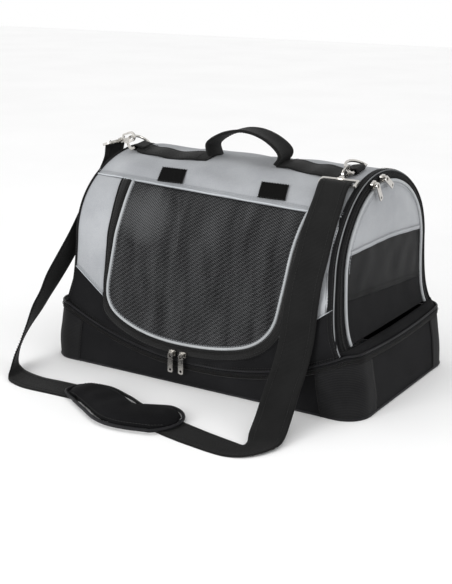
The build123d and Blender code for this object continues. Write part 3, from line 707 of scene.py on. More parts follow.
def end_x(z, side=1):
    """Half length of the cabin at a height: flared at the foot, and a little less at the left end."""
    rise = np.maximum(0, z - RIM_TOP)
    flare = (END_FOOT - END_HALF) * np.exp(-rise / (24 * MM))
    lean = 5 * MM * (np.maximum(0, z - 225 * MM) / (69 * MM)) ** 2
    slack = LEFT_SLACK * (1 - np.exp(-rise / (30 * MM))) * (np.asarray(side) < 0)
    return END_HALF + flare - lean - slack


def hem_height(x):
    """Height of the light hem over the front door, which drops a little to the right."""
    return HEM_HEIGHT - HEM_FALL * x


def s_at(z, back=False):
    """Distance along the section from the crown to a height on the front, or on the back (positive)."""
    heights = SECTION_LINE[::-1, 1]
    s = np.interp(z, heights, SECTION_S[::-1])
    return s if back else -s


def height_at(s):
    """Height of the cabin's skin at distance s over the arch."""
    return np.interp(np.abs(s), SECTION_S, SECTION_LINE[:, 1])


def barrel(x, s, lift=0.0):
    """Point of the cabin's skin at length x and at distance s over the arch, negative at the front."""
    x, s = np.broadcast_arrays(np.asarray(x, float), np.asarray(s, float))
    y = np.interp(np.abs(s), SECTION_S, SECTION_LINE[:, 0]) * np.where(s < 0, 1.0, -1.0)
    return np.stack([x, y, height_at(s)], -1) + barrel_normal(s) * np.broadcast_to(lift, y.shape)[..., None]


def barrel_normal(s):
    """Direction out of the cabin's skin at distance s over the arch."""
    s = np.asarray(s, float)
    normal_y = np.interp(np.abs(s), SECTION_S, SECTION_NORMAL[:, 0]) * np.where(s < 0, 1.0, -1.0)
    normal_z = np.interp(np.abs(s), SECTION_S, SECTION_NORMAL[:, 1])
    return unit(np.stack([np.zeros_like(normal_y), normal_y, normal_z], -1))


def front(x, z, lift=0.0):
    """Point of the front skin at length x and height z."""
    return barrel(x, s_at(np.asarray(z, float)), lift)


def on_front(outline, lift=0.0):
    """A flat front-view outline of (x, z) laid on the cabin's front skin, with its normals."""
    s = s_at(outline[:, 1])
    return barrel(outline[:, 0], s, lift), barrel_normal(s)


# Outline of the front door, seen from the front, from its top left corner round to its top right.
DOOR_OUTLINE = np.array([(-134, 266), (-130.5, 243), (-130.5, 218), (-135, 190), (-141.5, 150), (-145.5, 122),
                         (-144, 103), (-133, 86), (-109, 72.5), (-75, 62.5), (-35, 58), (10, 58.5), (50, 63),
                         (84, 72), (108, 87), (124, 110), (132, 145), (139.5, 186), (145, 222),
                         (150, 258.5)]) * MM
DOOR_EDGE = smooth_path(DOOR_OUTLINE, 4 * MM)


def door_line(out):
    """The door's outline moved outwards in its own plane, and cut off at the hem."""
    along = unit(np.gradient(DOOR_EDGE, axis=0))
    side = np.stack([along[:, 1], -along[:, 0]], 1)
    line = DOOR_EDGE + side * np.broadcast_to(out, len(side))[:, None]
    line[:, 1] = np.minimum(line[:, 1], hem_height(line[:, 0]) - 1 * MM)
    return line


def tape_width():
    """Width of the zip tape at each point of the door's outline, narrow down the left side."""
    left = np.interp(DOOR_EDGE[:, 1], np.array([92, 112, 141, 184, 224, 260]) * MM,
                     np.array([14, 4, 6, 10.5, 14, 17]) * MM)
    return np.where(DOOR_EDGE[:, 0] < -100 * MM, left, 14 * MM)


def seam_height(x):
    """Height of the slanted seam between the grey and black front panels."""
    return (109 + 0.72 * (np.abs(x) / MM - 157)) * MM


def front_door():
    """Mesh door, drawn tight towards its top left corner, with its light piping."""
    columns, rows = 72, 44
    turn_height = 118 * MM                      # where the sides of the mesh's grid end and its bottom begins
    inner = door_line(-3.2 * MM)
    half = len(inner) // 2
    low = int(np.argmin(np.abs(inner[:half, 1] - turn_height)))
    high = half + int(np.argmin(np.abs(inner[half:, 1] - turn_height)))
    bottom = resample(inner[low:high + 1], columns)
    left = resample(inner[:low + 1][::-1], rows)
    right = resample(inner[high:], rows)
    u = np.linspace(0, 1, columns + 1)[None, :, None]
    v = np.linspace(0, 1, rows + 1)[:, None, None]
    top = left[-1] * (1 - u[0]) + right[-1] * u[0]
    flat = ((1 - v) * bottom[None] + v * top[None] + (1 - u) * left[:, None] + u * right[:, None]
            - ((1 - u) * (1 - v) * bottom[0] + u * (1 - v) * bottom[-1] + (1 - u) * v * left[-1]
               + u * v * right[-1]))
    u, v = u[..., 0], v[..., 0]
    edge = np.minimum(1, 4 * np.minimum(u, 1 - u) * 2) * np.minimum(1, 5 * np.minimum(v, 1 - v) * 2)
    corner = np.exp(-((u - 0.2) ** 2 / 0.02 + (v - 0.75) ** 2 / 0.06))
    pulls = np.sin((flat[..., 0] + flat[..., 1] * 1.25) / (9 * MM))
    dent = -2.6 * MM * edge + ripple(flat / [1, 1.4], 0.11, 21) * 1.3 * MM * edge
    dent = dent + pulls * corner * 1.2 * MM * edge
    mesh = grid("front_mesh", front(flat[..., 0], flat[..., 1], dent), MESH, "front_door", 0.7 * MM,
                uv=np.stack([flat[..., 0], s_at(flat[..., 1])], 2))
    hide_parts("front_door_mesh")
    line, normals = on_front(door_line(-1.6 * MM), 0.8 * MM)
    piping = tube("front_door_welt", line, 2.0 * MM, PIPING, "front_door")
    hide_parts("front_door_piping")
    sew("front_door", on_front(door_line(-4.4 * MM))[0], normals, THREAD_LIGHT)


front_door()


def front_tabs():
    """Hook-and-loop tabs sewn inside the door, seen through its mesh."""
    down = np.linspace(150, 125, 7)[:, None] * MM
    for name, x in (("front_tab_left", -80 * MM), ("front_tab_right", 80 * MM)):
        across = np.linspace(-20, 20, 9)[None] * MM + x
        tab = grid(name, front(across, down, -5 * MM), PILE, "front_door", PILE_THICK,
                   subdivide=1)
        if x < 0:
            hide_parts("front_door_tabs")


front_tabs()


def front_zip():
    """Zip tape round the door, its raised coil and stitching."""
    width = tape_width()
    flat, share = between(door_line(width), door_line(0.8 * MM), 6)
    rise = 0.6 * MM + 1.4 * MM * np.sin(math.pi * share)
    tape = grid("front_zip_band", front(flat[..., 0], flat[..., 1], rise), TAPE, "upper", 1.6 * MM)
    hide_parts("front_zip_tape")
    coil_at = np.minimum(5.2 * MM, width * 0.5)
    bricks("front_zip_coil", teeth_places(*on_front(door_line(coil_at), 1.2 * MM)), COIL, "upper")
    for share in (0.18, 0.68, 0.92):
        sew("upper", *on_front(door_line(width * share), 2.0 * MM))
    fold = on_front(door_line(width + 0.2 * MM), 0.9 * MM)[0]
    tube("front_zip_fold", fold, 1.3 * MM, BAND, "upper", squash=0.8)


front_zip()


def side_panels(outer):
    """Grey panels between the zip tape and the ends, with the light hem at their foot."""
    share = np.linspace(0, 1, 16)
    drop = np.linspace(0, 1, 40)[:, None]
    for name, sign in (("left", -1), ("right", 1)):
        half = outer[:len(outer) // 2][::-1] if sign < 0 else outer[len(outer) // 2:]
        half = half[half[:, 1] > 92 * MM]
        z = hem_height(sign * END_HALF) * (1 - drop) + seam_height(sign * 160 * MM) * drop + 0 * share
        for _ in range(5):
            near = np.interp(z, half[:, 1], half[:, 0])
            x = near * (1 - share) + sign * (end_x(z, sign) - 1.2 * MM) * share
            z = hem_height(x) * (1 - drop) + seam_height(x) * drop
        fade = np.minimum(1, 6 * np.minimum(share, 1 - share)) * np.minimum(1, 8 * np.minimum(drop, 1 - drop))
        slack = ripple(np.stack([x * 1.4, z * 0.5], 2), 0.045, 31) * 1.7 * MM
        side = grid(f"side_panel_{name}", front(x, z, (2.0 * MM + slack) * fade), GREY, "upper",
                    CLOTH_THICK, lining=LINING, subdivide=1)
        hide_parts(f"front_side_{name}")
        hem = even(front(x[-1], z[-1], 0.9 * MM), 3 * MM)
        tube(f"side_hem_{name}", hem, 1.0 * MM, HEM, "upper", squash=0.6)
        for gap in (3.2, 5.4):
            sew("upper", front(x[-1], z[-1] + gap * MM, 0.6 * MM), barrel_normal(s_at(z[-1])), THREAD_LIGHT)


def lower_panel(outer):
    """Black panel under the door, from the seams and the zip tape down to the rim, gathered at its right."""
    low_x = np.linspace(-1, 1, 91) * (END_FOOT - 1.5 * MM)
    low_z = rim_height(np.stack([low_x, np.full_like(low_x, -RIM.y)], 1)) + 0.5 * MM
    bottom = outer[outer[:, 1] < 118 * MM]
    seam_x = np.array([-(END_HALF - LEFT_SLACK - 1 * MM), bottom[0, 0], bottom[-1, 0], END_HALF - 1 * MM])
    seam = np.stack([seam_x, seam_height(seam_x)], 1)
    upper = resample(np.vstack([seam[:2], bottom, seam[2:]]), len(low_x) - 1)
    flat, share = between(upper, np.stack([low_x, low_z], 1), 18)
    fade = np.minimum(1, 5 * np.minimum(share, 1 - share))
    gathers = np.sin(flat[..., 0] / (8 * MM) + 2 * np.sin(flat[..., 0] / (31 * MM)))
    gather_x, gather_reach = 95 * MM, 60 * MM
    near = np.exp(-((flat[..., 0] - gather_x) / gather_reach) ** 2) * share**2
    puff = (1.2 * MM + ripple(flat, 0.05, 33) * 1.2 * MM + gathers * near * 1.6 * MM) * fade
    panel = grid("lower_panel", front(flat[..., 0], flat[..., 1], puff), BLACK, "upper",
                 CLOTH_THICK, lining=LINING, subdivide=1)
    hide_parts("front_lower_panel")
    for gap in (2.4, 4.8):
        sew("upper", *on_front(flat[-1] + [0, gap * MM], 1.2 * MM))


side_panels(door_line(tape_width() - 1 * MM))
lower_panel(door_line(tape_width() - 1 * MM))


def wrap_panel(name, s_low, s_high, material, rows, columns, node, puff, seed):
    """Panel of the barrel from s_low to s_high over the arch, from end to end.
    puff is how far it stands out, and the height, length and pucker of its wrinkles."""
    out, wrinkle, wrinkle_size, pucker = puff
    share = np.linspace(-1, 1, columns)[None]
    low = s_low(share * END_HALF) if callable(s_low) else s_low
    down = np.linspace(0, 1, rows)[:, None]
    s = low * (1 - down) + s_high * down + 0 * share
    x = share * (end_x(height_at(s), share) - 1.2 * MM)
    fade = np.minimum(1, 7 * (1 - np.abs(share))) * np.minimum(1, 12 * np.minimum(down, 1 - down))
    height = (out + ripple(np.stack([x, s], 2) / [1.6, 1], wrinkle_size, seed) * wrinkle) * fade
    gathers = np.sin(x / (5.5 * MM) + 3 * np.sin(x / (37 * MM))) * np.exp(-(s - low) / (9 * MM)) * pucker
    panel = grid(name, barrel(x, s, height + gathers), material, "upper", 1.8 * MM, lining=LINING,
                 subdivide=1)
    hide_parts(node)


def top_and_back():
    """Grey cover over the top, black cover down the back, and the seams between the panels."""
    s_back = s_at(BACK_SEAM, back=True)
    wrap_panel("top_cover", lambda x: s_at(hem_height(x)) - 1 * MM, s_back, GREY, 90, 110, "top_panel",
               (1.4 * MM, 1.9 * MM, 62 * MM, 0.5 * MM), 41)
    wrap_panel("back_cover", s_back, s_at(RIM_TOP + 2 * MM, back=True), BLACK, 24, 90, "back_panel",
               (1.4 * MM, 1.2 * MM, 60 * MM, 0.3 * MM), 43)
    x = np.linspace(-END_HALF + LEFT_SLACK + 4 * MM, END_HALF - 9 * MM, 160)
    s_hem = s_at(hem_height(x))
    hem = barrel(x, s_hem, 1.2 * MM)
    hem[:, 2] += ripple(x[:, None], 0.05, 3) * 0.4 * MM
    welt = tube("front_hem_edge", hem, 1.2 * MM, HEM, "upper", squash=0.6,
                hint=barrel_normal(s_hem[80]))
    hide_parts("front_hem")
    for gap in (4.0, 6.6):
        sew("upper", barrel(x, s_hem + gap * MM, 1.3 * MM), barrel_normal(s_hem), THREAD_LIGHT)
        sew("upper", barrel(x, s_back - gap * MM, 0.8 * MM), barrel_normal(s_back), THREAD_LIGHT)
    tube("back_seam_edge", barrel(x, s_back, 0.8 * MM), 1.5 * MM, BAND, "upper", squash=0.6)


top_and_back()


def patches():
    """Two hook-and-loop patches that hold the rolled door."""
    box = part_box("door_patches")
    middle = -float(np.interp(-(box[0].y + box[1].y) / 2, -SECTION_LINE[:160, 0], SECTION_S[:160]))
    down = np.linspace(-13.5, 13.5, 9)[:, None] * MM
    for name, centre, below in (("patch_left", -76 * MM, 3 * MM), ("patch_right", 86 * MM, 9 * MM)):
        x = centre + np.linspace(-20, 20, 12)[None] * MM - 0.27 * down
        s = middle - below + down + 0 * x
        patch = grid(name, barrel(x, s, 3.0 * MM), PILE, "upper", PILE_THICK)
        if centre < 0:
            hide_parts("door_patches")
        border = np.vstack([barrel(x[0], s[0], 3.2 * MM), barrel(x[:, -1], s[:, -1], 3.2 * MM),
                            barrel(x[-1][::-1], s[-1], 3.2 * MM), barrel(x[::-1, 0], s[::-1, 0], 3.2 * MM)])
        sew("upper", border, barrel_normal(middle))


patches()


# ---------------------------------------------------------------- the ends
WELT_LOW, WELT_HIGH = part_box("end_welt_right")
DOOR_FOOT = WELT_LOW.z
DOOR_HALF = WELT_HIGH.y
DOOR_RISE = WELT_HIGH.z - SPRING
END_COUNT = 120                                 # steps round an end door
BAND_COUNT = 150                                # steps round an end's black band


def arch_line(half, rise, foot, foot_half=None):
    """Arch of (y, z) from its front foot over the top to its back foot."""
    angles = np.linspace(0, math.pi, 90)
    arch = np.stack([-half * np.cos(angles), SPRING + rise * np.sin(angles)], 1)
    foot_half = foot_half or half
    return even(np.vstack([[(-foot_half, foot)], arch, [(foot_half, foot)]]), 4 * MM)


def end_place(sign, yz, out):
    """Point of an end wall at (y, z), out beyond the wall's own plane."""
    return np.stack([sign * (end_x(yz[..., 1], sign) + out), yz[..., 0], yz[..., 1]], -1)


def arch_grown(line, out):
    """An arch moved outwards in its own plane."""
    along = unit(np.gradient(line, axis=0))
    return line + np.stack([-along[:, 1], along[:, 0]], 1) * out


def end_walls():
    """Black arch band, its zip coil, ridge and light piping on each end."""
    outer = resample(arch_line(ARCH_HALF, ARCH_RISE, RIM_TOP + 1 * MM, 147 * MM), BAND_COUNT)
    inner = resample(arch_line(DOOR_HALF + 0.6 * MM, DOOR_RISE + 0.6 * MM, DOOR_FOOT - 1 * MM), BAND_COUNT)
    flat = between(outer, inner, 8)[0]
    rise = np.array([0.0, 2.2, 3.2, 2.6, 2.4, 3.0, 3.4, 3.2])[:, None] * MM
    for side, sign in (("left", -1), ("right", 1)):
        band = grid(f"end_band_{side}", end_place(sign, flat, rise), BAND, "upper", 2 * MM,
                    lining=LINING)
        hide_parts(f"end_frame_{side}")
        for place in (0.22, 0.34, 0.90):
            sew("upper", end_place(sign, outer * (1 - place) + inner * place, 3.2 * MM), [sign, 0, 0])
        coil = end_place(sign, outer * 0.42 + inner * 0.58, 2.6 * MM)
        bricks(f"end_zip_coil_{side}", teeth_places(coil, [sign, 0, 0]), COIL, "upper")
        ridge = end_place(sign, outer * 0.80 + inner * 0.20, 3.0 * MM)
        tube(f"end_band_ridge_{side}", ridge, 1.6 * MM, BAND, "upper", squash=0.7)
        welt = tube(f"arch_welt_{side}", end_place(sign, arch_grown(outer, 0.6 * MM), 0.4 * MM), 0.9 * MM,
                    DULL_PIPING if sign > 0 else BAND, "upper")
        if sign < 0:
            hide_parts("arch_piping")


def binding():
    """Black tape that binds the barrel beside each end arch, with its light hem."""
    s = np.linspace(s_at(RIM_TOP + 2 * MM), s_at(RIM_TOP + 2 * MM, back=True), 190)
    z = height_at(s)
    across = np.linspace(0, 1, 6)[:, None]
    lift = np.array([1.2, 1.8, 1.8, 1.7, 1.5, 0.9])[:, None] * MM
    for side, sign, width in (("left", -1, 2 * MM), ("right", 1, 9 * MM)):
        x = sign * (end_x(z, sign)[None] - 0.4 * MM - across * width)
        tape = grid(f"arch_tape_{side}", barrel(x, s[None], lift), BAND, "upper", 0.9 * MM)
        if sign < 0:
            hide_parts("arch_binding")
        for place in (0.25, 0.85):
            sew("upper", barrel(sign * (end_x(z, sign) - place * width), s, 1.8 * MM), barrel_normal(s))
    line = even(barrel(end_x(z) - 10.6 * MM, s, 1.0 * MM), 4 * MM)
    low, high = 132 * MM, 188 * MM
    line = line[(line[:, 1] < 0) & (line[:, 2] < high) & (line[:, 2] > low)]
    tube("arch_hem", line, 0.9 * MM, DULL_PIPING, "upper", squash=0.6)


def door_half(z):
    """Half width of the end door's cloth at a height."""
    lift = np.clip((z - SPRING) / DOOR_RISE, 0, 0.999)
    return (DOOR_HALF - 3.4 * MM) * np.sqrt(1 - lift**2)


DOOR_CROWN = SPRING + (DOOR_RISE - 3.6 * MM) * 0.999
END_SEAMS = (lambda y: DOOR_CROWN + 0 * y,
             lambda y: (201 - 4 * y / DOOR_HALF + 5 * np.sin(1.6 * (1 - y / DOOR_HALF))) * MM,
             lambda y: (138 - 10 * y / DOOR_HALF) * MM,
             lambda y: DOOR_FOOT + 0.6 * MM + 0 * y)


def door_rows(high, low, number):
    """Points (y, z) of a door panel between two seams, in rows across it, and how far out each lies."""
    y = np.linspace(-1, 1, 60)[None]
    share = np.linspace(0, 1, (34, 22, 18)[number])[:, None]
    if number == 0:
        share = share**2
    depth = y * DOOR_HALF
    for _ in range(6):
        z = high(depth) * (1 - share) + low(depth) * share
        depth = y * door_half(z)
    edge = 1 - np.abs(y) ** 4
    height = np.clip((z - DOOR_FOOT) / (DOOR_CROWN - DOOR_FOOT), 0, 1)
    dome = np.clip(np.sin(math.pi * height), 0, 1) ** 0.6
    flat = np.stack([depth, z], 2)
    slack = ripple(flat, 0.055, 51 + number) * 1.1 * MM
    return flat, 4.2 * MM + (2.4 * MM + slack) * edge * dome


def end_doors():
    """Grey, mesh and black panels of each end, inside their light piping."""
    sheets = (("grey", GREY, "grey_fabric", LINING), ("mesh", END_MESH, "mesh", None),
              ("black", BLACK, "black_fabric", LINING))
    for side, sign, body in (("left", -1, "upper"), ("right", 1, "end_door")):
        outward = [sign, 0, 0]
        for number, (name, cloth, slot, lining) in enumerate(sheets):
            flat, out = door_rows(END_SEAMS[number], END_SEAMS[number + 1], number)
            sheet = grid(f"end_{name}_cloth_{side}", end_place(sign, flat, out), cloth, body,
                         CLOTH_THICK, uv=flat, lining=lining, subdivide=1)
            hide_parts(f"end_{name}_{side}")
            if name == "grey":
                hem = end_place(sign, flat[-1] + [0, 2.4 * MM], out[-1] + 0.5 * MM)
                tube(f"end_hem_{side}", hem, 2.8 * MM, GREY, body, squash=0.3, hint=outward)
            if name != "black":
                for gap in (1.2, 6.4):
                    line = end_place(sign, flat[-1] + [0, gap * MM], out[-1] + 1.2 * MM)
                    sew(body, line, outward, THREAD_LIGHT if name == "grey" else THREAD_DARK)
        welt = resample(arch_line(DOOR_HALF - 1.9 * MM, DOOR_RISE - 1.9 * MM, DOOR_FOOT), END_COUNT)
        bar = tube(f"end_door_welt_{side}", end_place(sign, welt, 5.2 * MM), 2.2 * MM, PIPING, body)
        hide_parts(f"end_welt_{side}")
        seam = resample(arch_line(DOOR_HALF - 8 * MM, DOOR_RISE - 8 * MM, SPRING + 20 * MM), END_COUNT)
        sew(body, end_place(sign, seam, 6.4 * MM), outward, THREAD_LIGHT)


end_walls()
binding()
end_doors()


def skirt():
    """Sloping flange from the rim up to the foot of the cabin."""
    outer = rim_ring(-2.6 * MM, 0.2 * MM)
    foot = rounded_outline(END_FOOT + 1 * MM, 148.5 * MM, 8 * MM)
    at_end = np.abs(foot[:, 0]) > END_FOOT - 6 * MM
    inner = np.hstack([foot, (outer[:, 2] + 2 * MM + 5 * MM * at_end)[:, None]])
    rows, share = between(outer, inner, 7)
    rows[..., 2] += np.sin(math.pi * share) * (1.2 * MM + ripple(rows[0], 0.05, 61) * 0.8 * MM)
    flange = grid("skirt_cover", rows, BLACK, "upper", CLOTH_THICK, closed=True,
                  outward=(0, 0, -1))
    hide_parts("skirt")


skirt()


# ---------------------------------------------------------------- webbing, handle and strap
def ribbon(name, edges, thick, body, columns, cup, step):
    """Band of webbing between two edges, each row (left edge, right edge), smoothed along its length."""
    line = smooth_path(edges, step)
    left, right = line[:, :3], line[:, 3:]
    share = np.linspace(0, 1, columns)[None, :, None]
    points = left[:, None] * (1 - share) + right[:, None] * share
    normals = grid_normals(points)
    points = points + normals * np.sin(math.pi * share) * cup
    width = np.linalg.norm(right - left, axis=1).mean()
    along, across = lengths_along(points.mean(1)), np.linspace(0, width, columns)
    uv = np.stack(np.meshgrid(along, across, indexing="ij"), 2)
    band = grid(name, points, WEBBING, body, thick, uv=uv[..., ::-1], outward=None, offset=0,
                subdivide=1)
    return band, points, normals


def sew_edges(body, points, normals, lift=1.1 * MM):
    """Stitches near both edges of a band, on both of its faces."""
    for column in (1, points.shape[1] - 2):
        for turn in (1, -1):
            sew(body, points[:, column] + normals[:, column] * lift * turn, normals[:, column] * turn)


def drop_edges():
    """Both edges of the strap down its drop."""
    edges = []
    for x, y, z, turn in STRAP_DROP:
        side = np.array([1, turn, 0], float)
        side *= STRAP_WIDE / 2 / np.linalg.norm(side)
        centre = np.array([x, y, z], float) * MM
        edges.append(np.hstack([centre - side, centre + side]))
    return np.array(edges)


def top_webbing():
    """Webbing from the handle's roots to the rings, lying in waves on the roof."""
    rows = np.linspace(-1, 1, 9)[:, None]
    for side, sign, start in (("left", -1, 3 * MM), ("right", 1, 14 * MM)):
        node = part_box(f"top_webbing_{side}")
        low, high = sorted((abs(node[0].x), abs(node[1].x)))
        x = np.linspace(low + start, high + 4 * MM, 40)
        share = (x - x[0]) / (x[-1] - x[0])
        half = WEBBING_WIDE / 2
        if sign < 0:
            centre = WEB_Y + np.sin(share * math.pi * 1.15) * -7 * MM
            half = half - 9 * MM * np.sin(math.pi * share)[None] * (rows > 0)
        else:
            centre = -15 * MM - 23 * MM * share
        lift = 3.2 * MM + 2.2 * MM * np.sin(share * math.pi * 2.3) ** 2
        s = centre[None] + rows * half
        points = barrel(sign * x[None], s, lift[None] - 0.8 * MM * rows**2)
        uv = np.stack([s, x[None] + 0 * s], 2)
        band = grid(f"roof_webbing_{side}", points, WEBBING, "upper", 2 * MM, uv=uv, subdivide=1)
        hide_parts(f"top_webbing_{side}")
        normals = barrel_normal(s)
        for row in (1, 7):
            sew("upper", points[row], normals[row])
        for column in (1, -1, 5, -5):
            sew("upper", points[:, column] + normals[:, column] * 0.6 * MM, normals[:, column])


# Route of the handle in millimetres: x, z and half width, from the left root to the right one.
HANDLE_ROUTE = [(-45, 295.5, 19), (-46.5, 300, 19), (-48.5, 306, 18.5), (-49, 312, 18), (-44, 317.5, 17.5),
                (-35, 323.5, 17), (-20, 330.5, 16.5), (0, 335.3, 16.5), (20, 334.8, 16.5), (38, 330, 16.5),
                (52, 323, 17.5), (62, 315.5, 18.5), (66.5, 309, 19), (65, 302.5, 19.5), (61.5, 298.5, 20),
                (60, 295.5, 20)]


def carry_handle():
    """Band of webbing that stands up from both roots, folds over and arches."""
    rows = []
    for x, z, half in HANDLE_ROUTE:
        tilt = 4 * math.sin(x / 40)
        rows.append([x, WEB_Y / MM - half, z - tilt * 0.4, x, WEB_Y / MM + half, z + tilt * 0.4])
    band, points, normals = ribbon("handle_band", np.array(rows) * MM, 3.6 * MM, None,
                                   columns=9, cup=2.0 * MM, step=3 * MM)
    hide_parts("carry_handle")
    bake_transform(band)
    high = points[:, 4, 2] > 0.312
    sew_edges("carry_handle", points[high], normals[high], lift=1.7 * MM)


# Route of the strap in millimetres, from the right hook. On the drop a row is (x, y, z) of the middle and how
# far the band turns about its length; after it, a row is the two edges.
STRAP_DROP = [(167.4, -66.5, 289.3, 0), (167, -72.5, 289.2, -0.05), (166.5, -79, 283.5, -0.1),
              (168, -89, 275, -0.12), (170, -99.5, 266.5, -0.1), (172, -116, 251, -0.05), (173, -131, 232, 0),
              (172, -141.5, 206, 0), (168.5, -148.5, 180, 0.05), (164.5, -151, 148, 0.1),
              (162.5, -157, 105, 0.2), (160.5, -169, 70, 0.3), (163, -195, 44, 0.35), (171, -229, 22, 0.4),
              (177, -254, 10, 0.42)]
STRAP_FOLD = [[(161, -273, 5.0), (199, -258, 5.5)], [(162, -279, 3.0), (200, -277, 4.5)],
              [(161, -281, 1.8), (194, -295, 4.2)], [(158, -280.5, 1.2), (177, -311, 2.4)],
              [(146, -278, 1.0), (150, -318, 1.0)], [(104, -270, 1.0), (100, -313, 1.0)],
              [(70, -262, 1.0), (62, -306, 1.0)], [(44, -255, 1.0), (35, -299, 1.0)]]
STRAP_BELOW = [[(0, -246, 1.0), (-8, -290, 1.0)], [(-60, -236, 1.0), (-60, -281, 1.0)],
               [(-110, -228, 1.0), (-103, -272, 1.0)], [(-160, -229, 1.0), (-150, -273, 1.0)],
               [(-194, -231, 1.0), (-190, -275, 1.2)]]
STRAP_RISE = [[(-226, -226, 1.6), (-220, -268, 1.8)], [(-244, -218, 2.6), (-231, -259, 4.5)],
              [(-256, -211, 5), (-235, -249, 12)], [(-262, -203, 14), (-237, -239, 26)],
              [(-261, -197, 30), (-234, -229, 44)], [(-252, -188, 53), (-228, -222, 68)],
              [(-241, -174, 77), (-224, -212, 94)], [(-235, -161, 96), (-220, -199, 114)],
              [(-228, -146, 117), (-218, -186, 136)], [(-225, -125, 139), (-216, -162, 162)],
              [(-223, -100, 166), (-216, -136, 187)], [(-219, -74, 200), (-214, -112, 217)],
              [(-215, -46, 236), (-211, -86, 250)], [(-215, -18, 270), (-212, -60, 279)],
              [(-218.5, -3, 291), (-218.5, -47, 292)], [(-219.5, 0.5, 300), (-219.5, -44, 300)],
              [(-216.5, 0.5, 301.5), (-216.5, -44, 301.5)]]


def shoulder_strap():
    """One webbing strap from the right hook, down to the floor, along it and up to the left hook."""
    rest = np.array([a + b for a, b in STRAP_FOLD + STRAP_BELOW + STRAP_RISE], float) * MM
    band, points, normals = ribbon("shoulder_strap", np.vstack([drop_edges(), rest]), 1.8 * MM, "upper",
                                   columns=7, cup=0.5 * MM, step=5 * MM)
    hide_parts("strap_right", "strap_floor", "strap_left", "strap_folds")
    sew_edges("upper", points, normals)


top_webbing()
carry_handle()
shoulder_strap()


# ---------------------------------------------------------------- padded pieces
SWELL_FRAMES = 20
CLOTH_STIFFNESS = 25


def inflate(piece, voxel, pressure, cap):
    """Cloth simulation that swells a closed shell, then applies the result with its movement capped."""
    scene = bpy.context.scene
    remesh = piece.modifiers.new("remesh", "REMESH")
    remesh.mode = "VOXEL"
    remesh.voxel_size = voxel
    bake_modifiers(piece)
    start = vertex_array(piece.data)
    cloth = piece.modifiers.new("cloth", "CLOTH")
    cloth.settings.use_pressure = True
    cloth.settings.uniform_pressure_force = pressure
    cloth.settings.tension_stiffness = CLOTH_STIFFNESS
    cloth.settings.compression_stiffness = CLOTH_STIFFNESS
    cloth.settings.effector_weights.gravity = 0
    cloth.point_cache.frame_start = 1
    cloth.point_cache.frame_end = SWELL_FRAMES
    for number in range(1, SWELL_FRAMES + 1):
        scene.frame_set(number)
    bake_modifiers(piece)
    scene.frame_set(1)
    moved = vertex_array(piece.data) - start
    reach = np.linalg.norm(moved, axis=1, keepdims=True)
    moved *= np.minimum(1, cap / np.maximum(reach, 1e-9))
    piece.data.vertices.foreach_set("co", (start + moved).ravel())
    piece.data.update()
    piece.data.polygons.foreach_set("use_smooth", [True] * len(piece.data.polygons))
    smooth = piece.modifiers.new("smooth", "SUBSURF")
    smooth.levels = smooth.render_levels = 1


def vertex_array(mesh):
    """Vertices of a mesh, one row each."""
    co = np.zeros(len(mesh.vertices) * 3)
    mesh.vertices.foreach_get("co", co)
    return co.reshape(-1, 3)


def bake_modifiers(piece):
    """Replaces a piece's mesh by what its modifiers make of it."""
    graph = bpy.context.evaluated_depsgraph_get()
    mesh = bpy.data.meshes.new_from_object(piece.evaluated_get(graph))
    piece.modifiers.clear()
    piece.data = mesh


def closed_shell(name, top, bottom, material):
    """Closed body from two grids that share their outline."""
    rows, cols = top.shape[:2]
    below = rows * cols
    index = np.arange(below).reshape(rows, cols)
    faces = quads(index).tolist()
    under = [tuple(k + below for k in reversed(face)) for face in faces]
    border = np.concatenate([index[0, :-1], index[:-1, -1], index[-1, :0:-1], index[:0:-1, 0]]).tolist()
    rim = [(there, here, here + below, there + below) for here, there in zip(border, border[1:] + border[:1])]
    mesh = bpy.data.meshes.new(name)
    mesh.from_pydata(np.vstack([top.reshape(-1, 3), bottom.reshape(-1, 3)]).tolist(), [], faces + under + rim)
    return finish_object(name, mesh, material, None)


# Middle line of the shoulder pad in millimetres, and its half widths at shares of its length.
PAD_ROUTE = [(60, -267), (32, -273), (-13, -285), (-56, -266), (-92, -251), (-129, -252)]
PAD_STOPS = [0, 0.14, 0.38, 0.61, 0.80, 1]
PAD_HALF_WIDTHS = [31, 40, 36, 34, 31, 20]


def pad_surface(along, across, grow=0.0):
    """Point in plan on the shoulder pad: along from 0 to 1, across from -1 to 1."""
    route = smooth_path(np.array(PAD_ROUTE, float) * MM, 1 * MM)
    at = np.linspace(0, 1, len(route))
    centre = np.stack([np.interp(along, at, route[:, k]) for k in range(2)], -1)
    step = unit(np.gradient(route, axis=0))
    heading = unit(np.stack([np.interp(along, at, step[:, k]) for k in range(2)], -1))
    side = np.stack([-heading[..., 1], heading[..., 0]], -1)
    half = np.interp(along, PAD_STOPS, PAD_HALF_WIDTHS) * MM
    end = np.clip(np.minimum(along, 1 - along) / 0.15, 0, 1)
    half = half * np.sqrt(1 - (1 - end) ** 2.4 * 0.93) + grow
    return centre + side * (half * across)[..., None]


def pad_height(along, across):
    """Top of the pad: domed, with slight waves along it."""
    from_end = np.clip(np.minimum(along, 1 - along) / 0.10, 0, 1)
    dome = np.clip(1 - np.abs(across) ** 3.2, 0, 1) * from_end**0.5
    swell = 1 + 0.06 * np.sin(along * 31) * (1 - across**2)
    return 4.2 * MM + 8.2 * MM * dome * swell


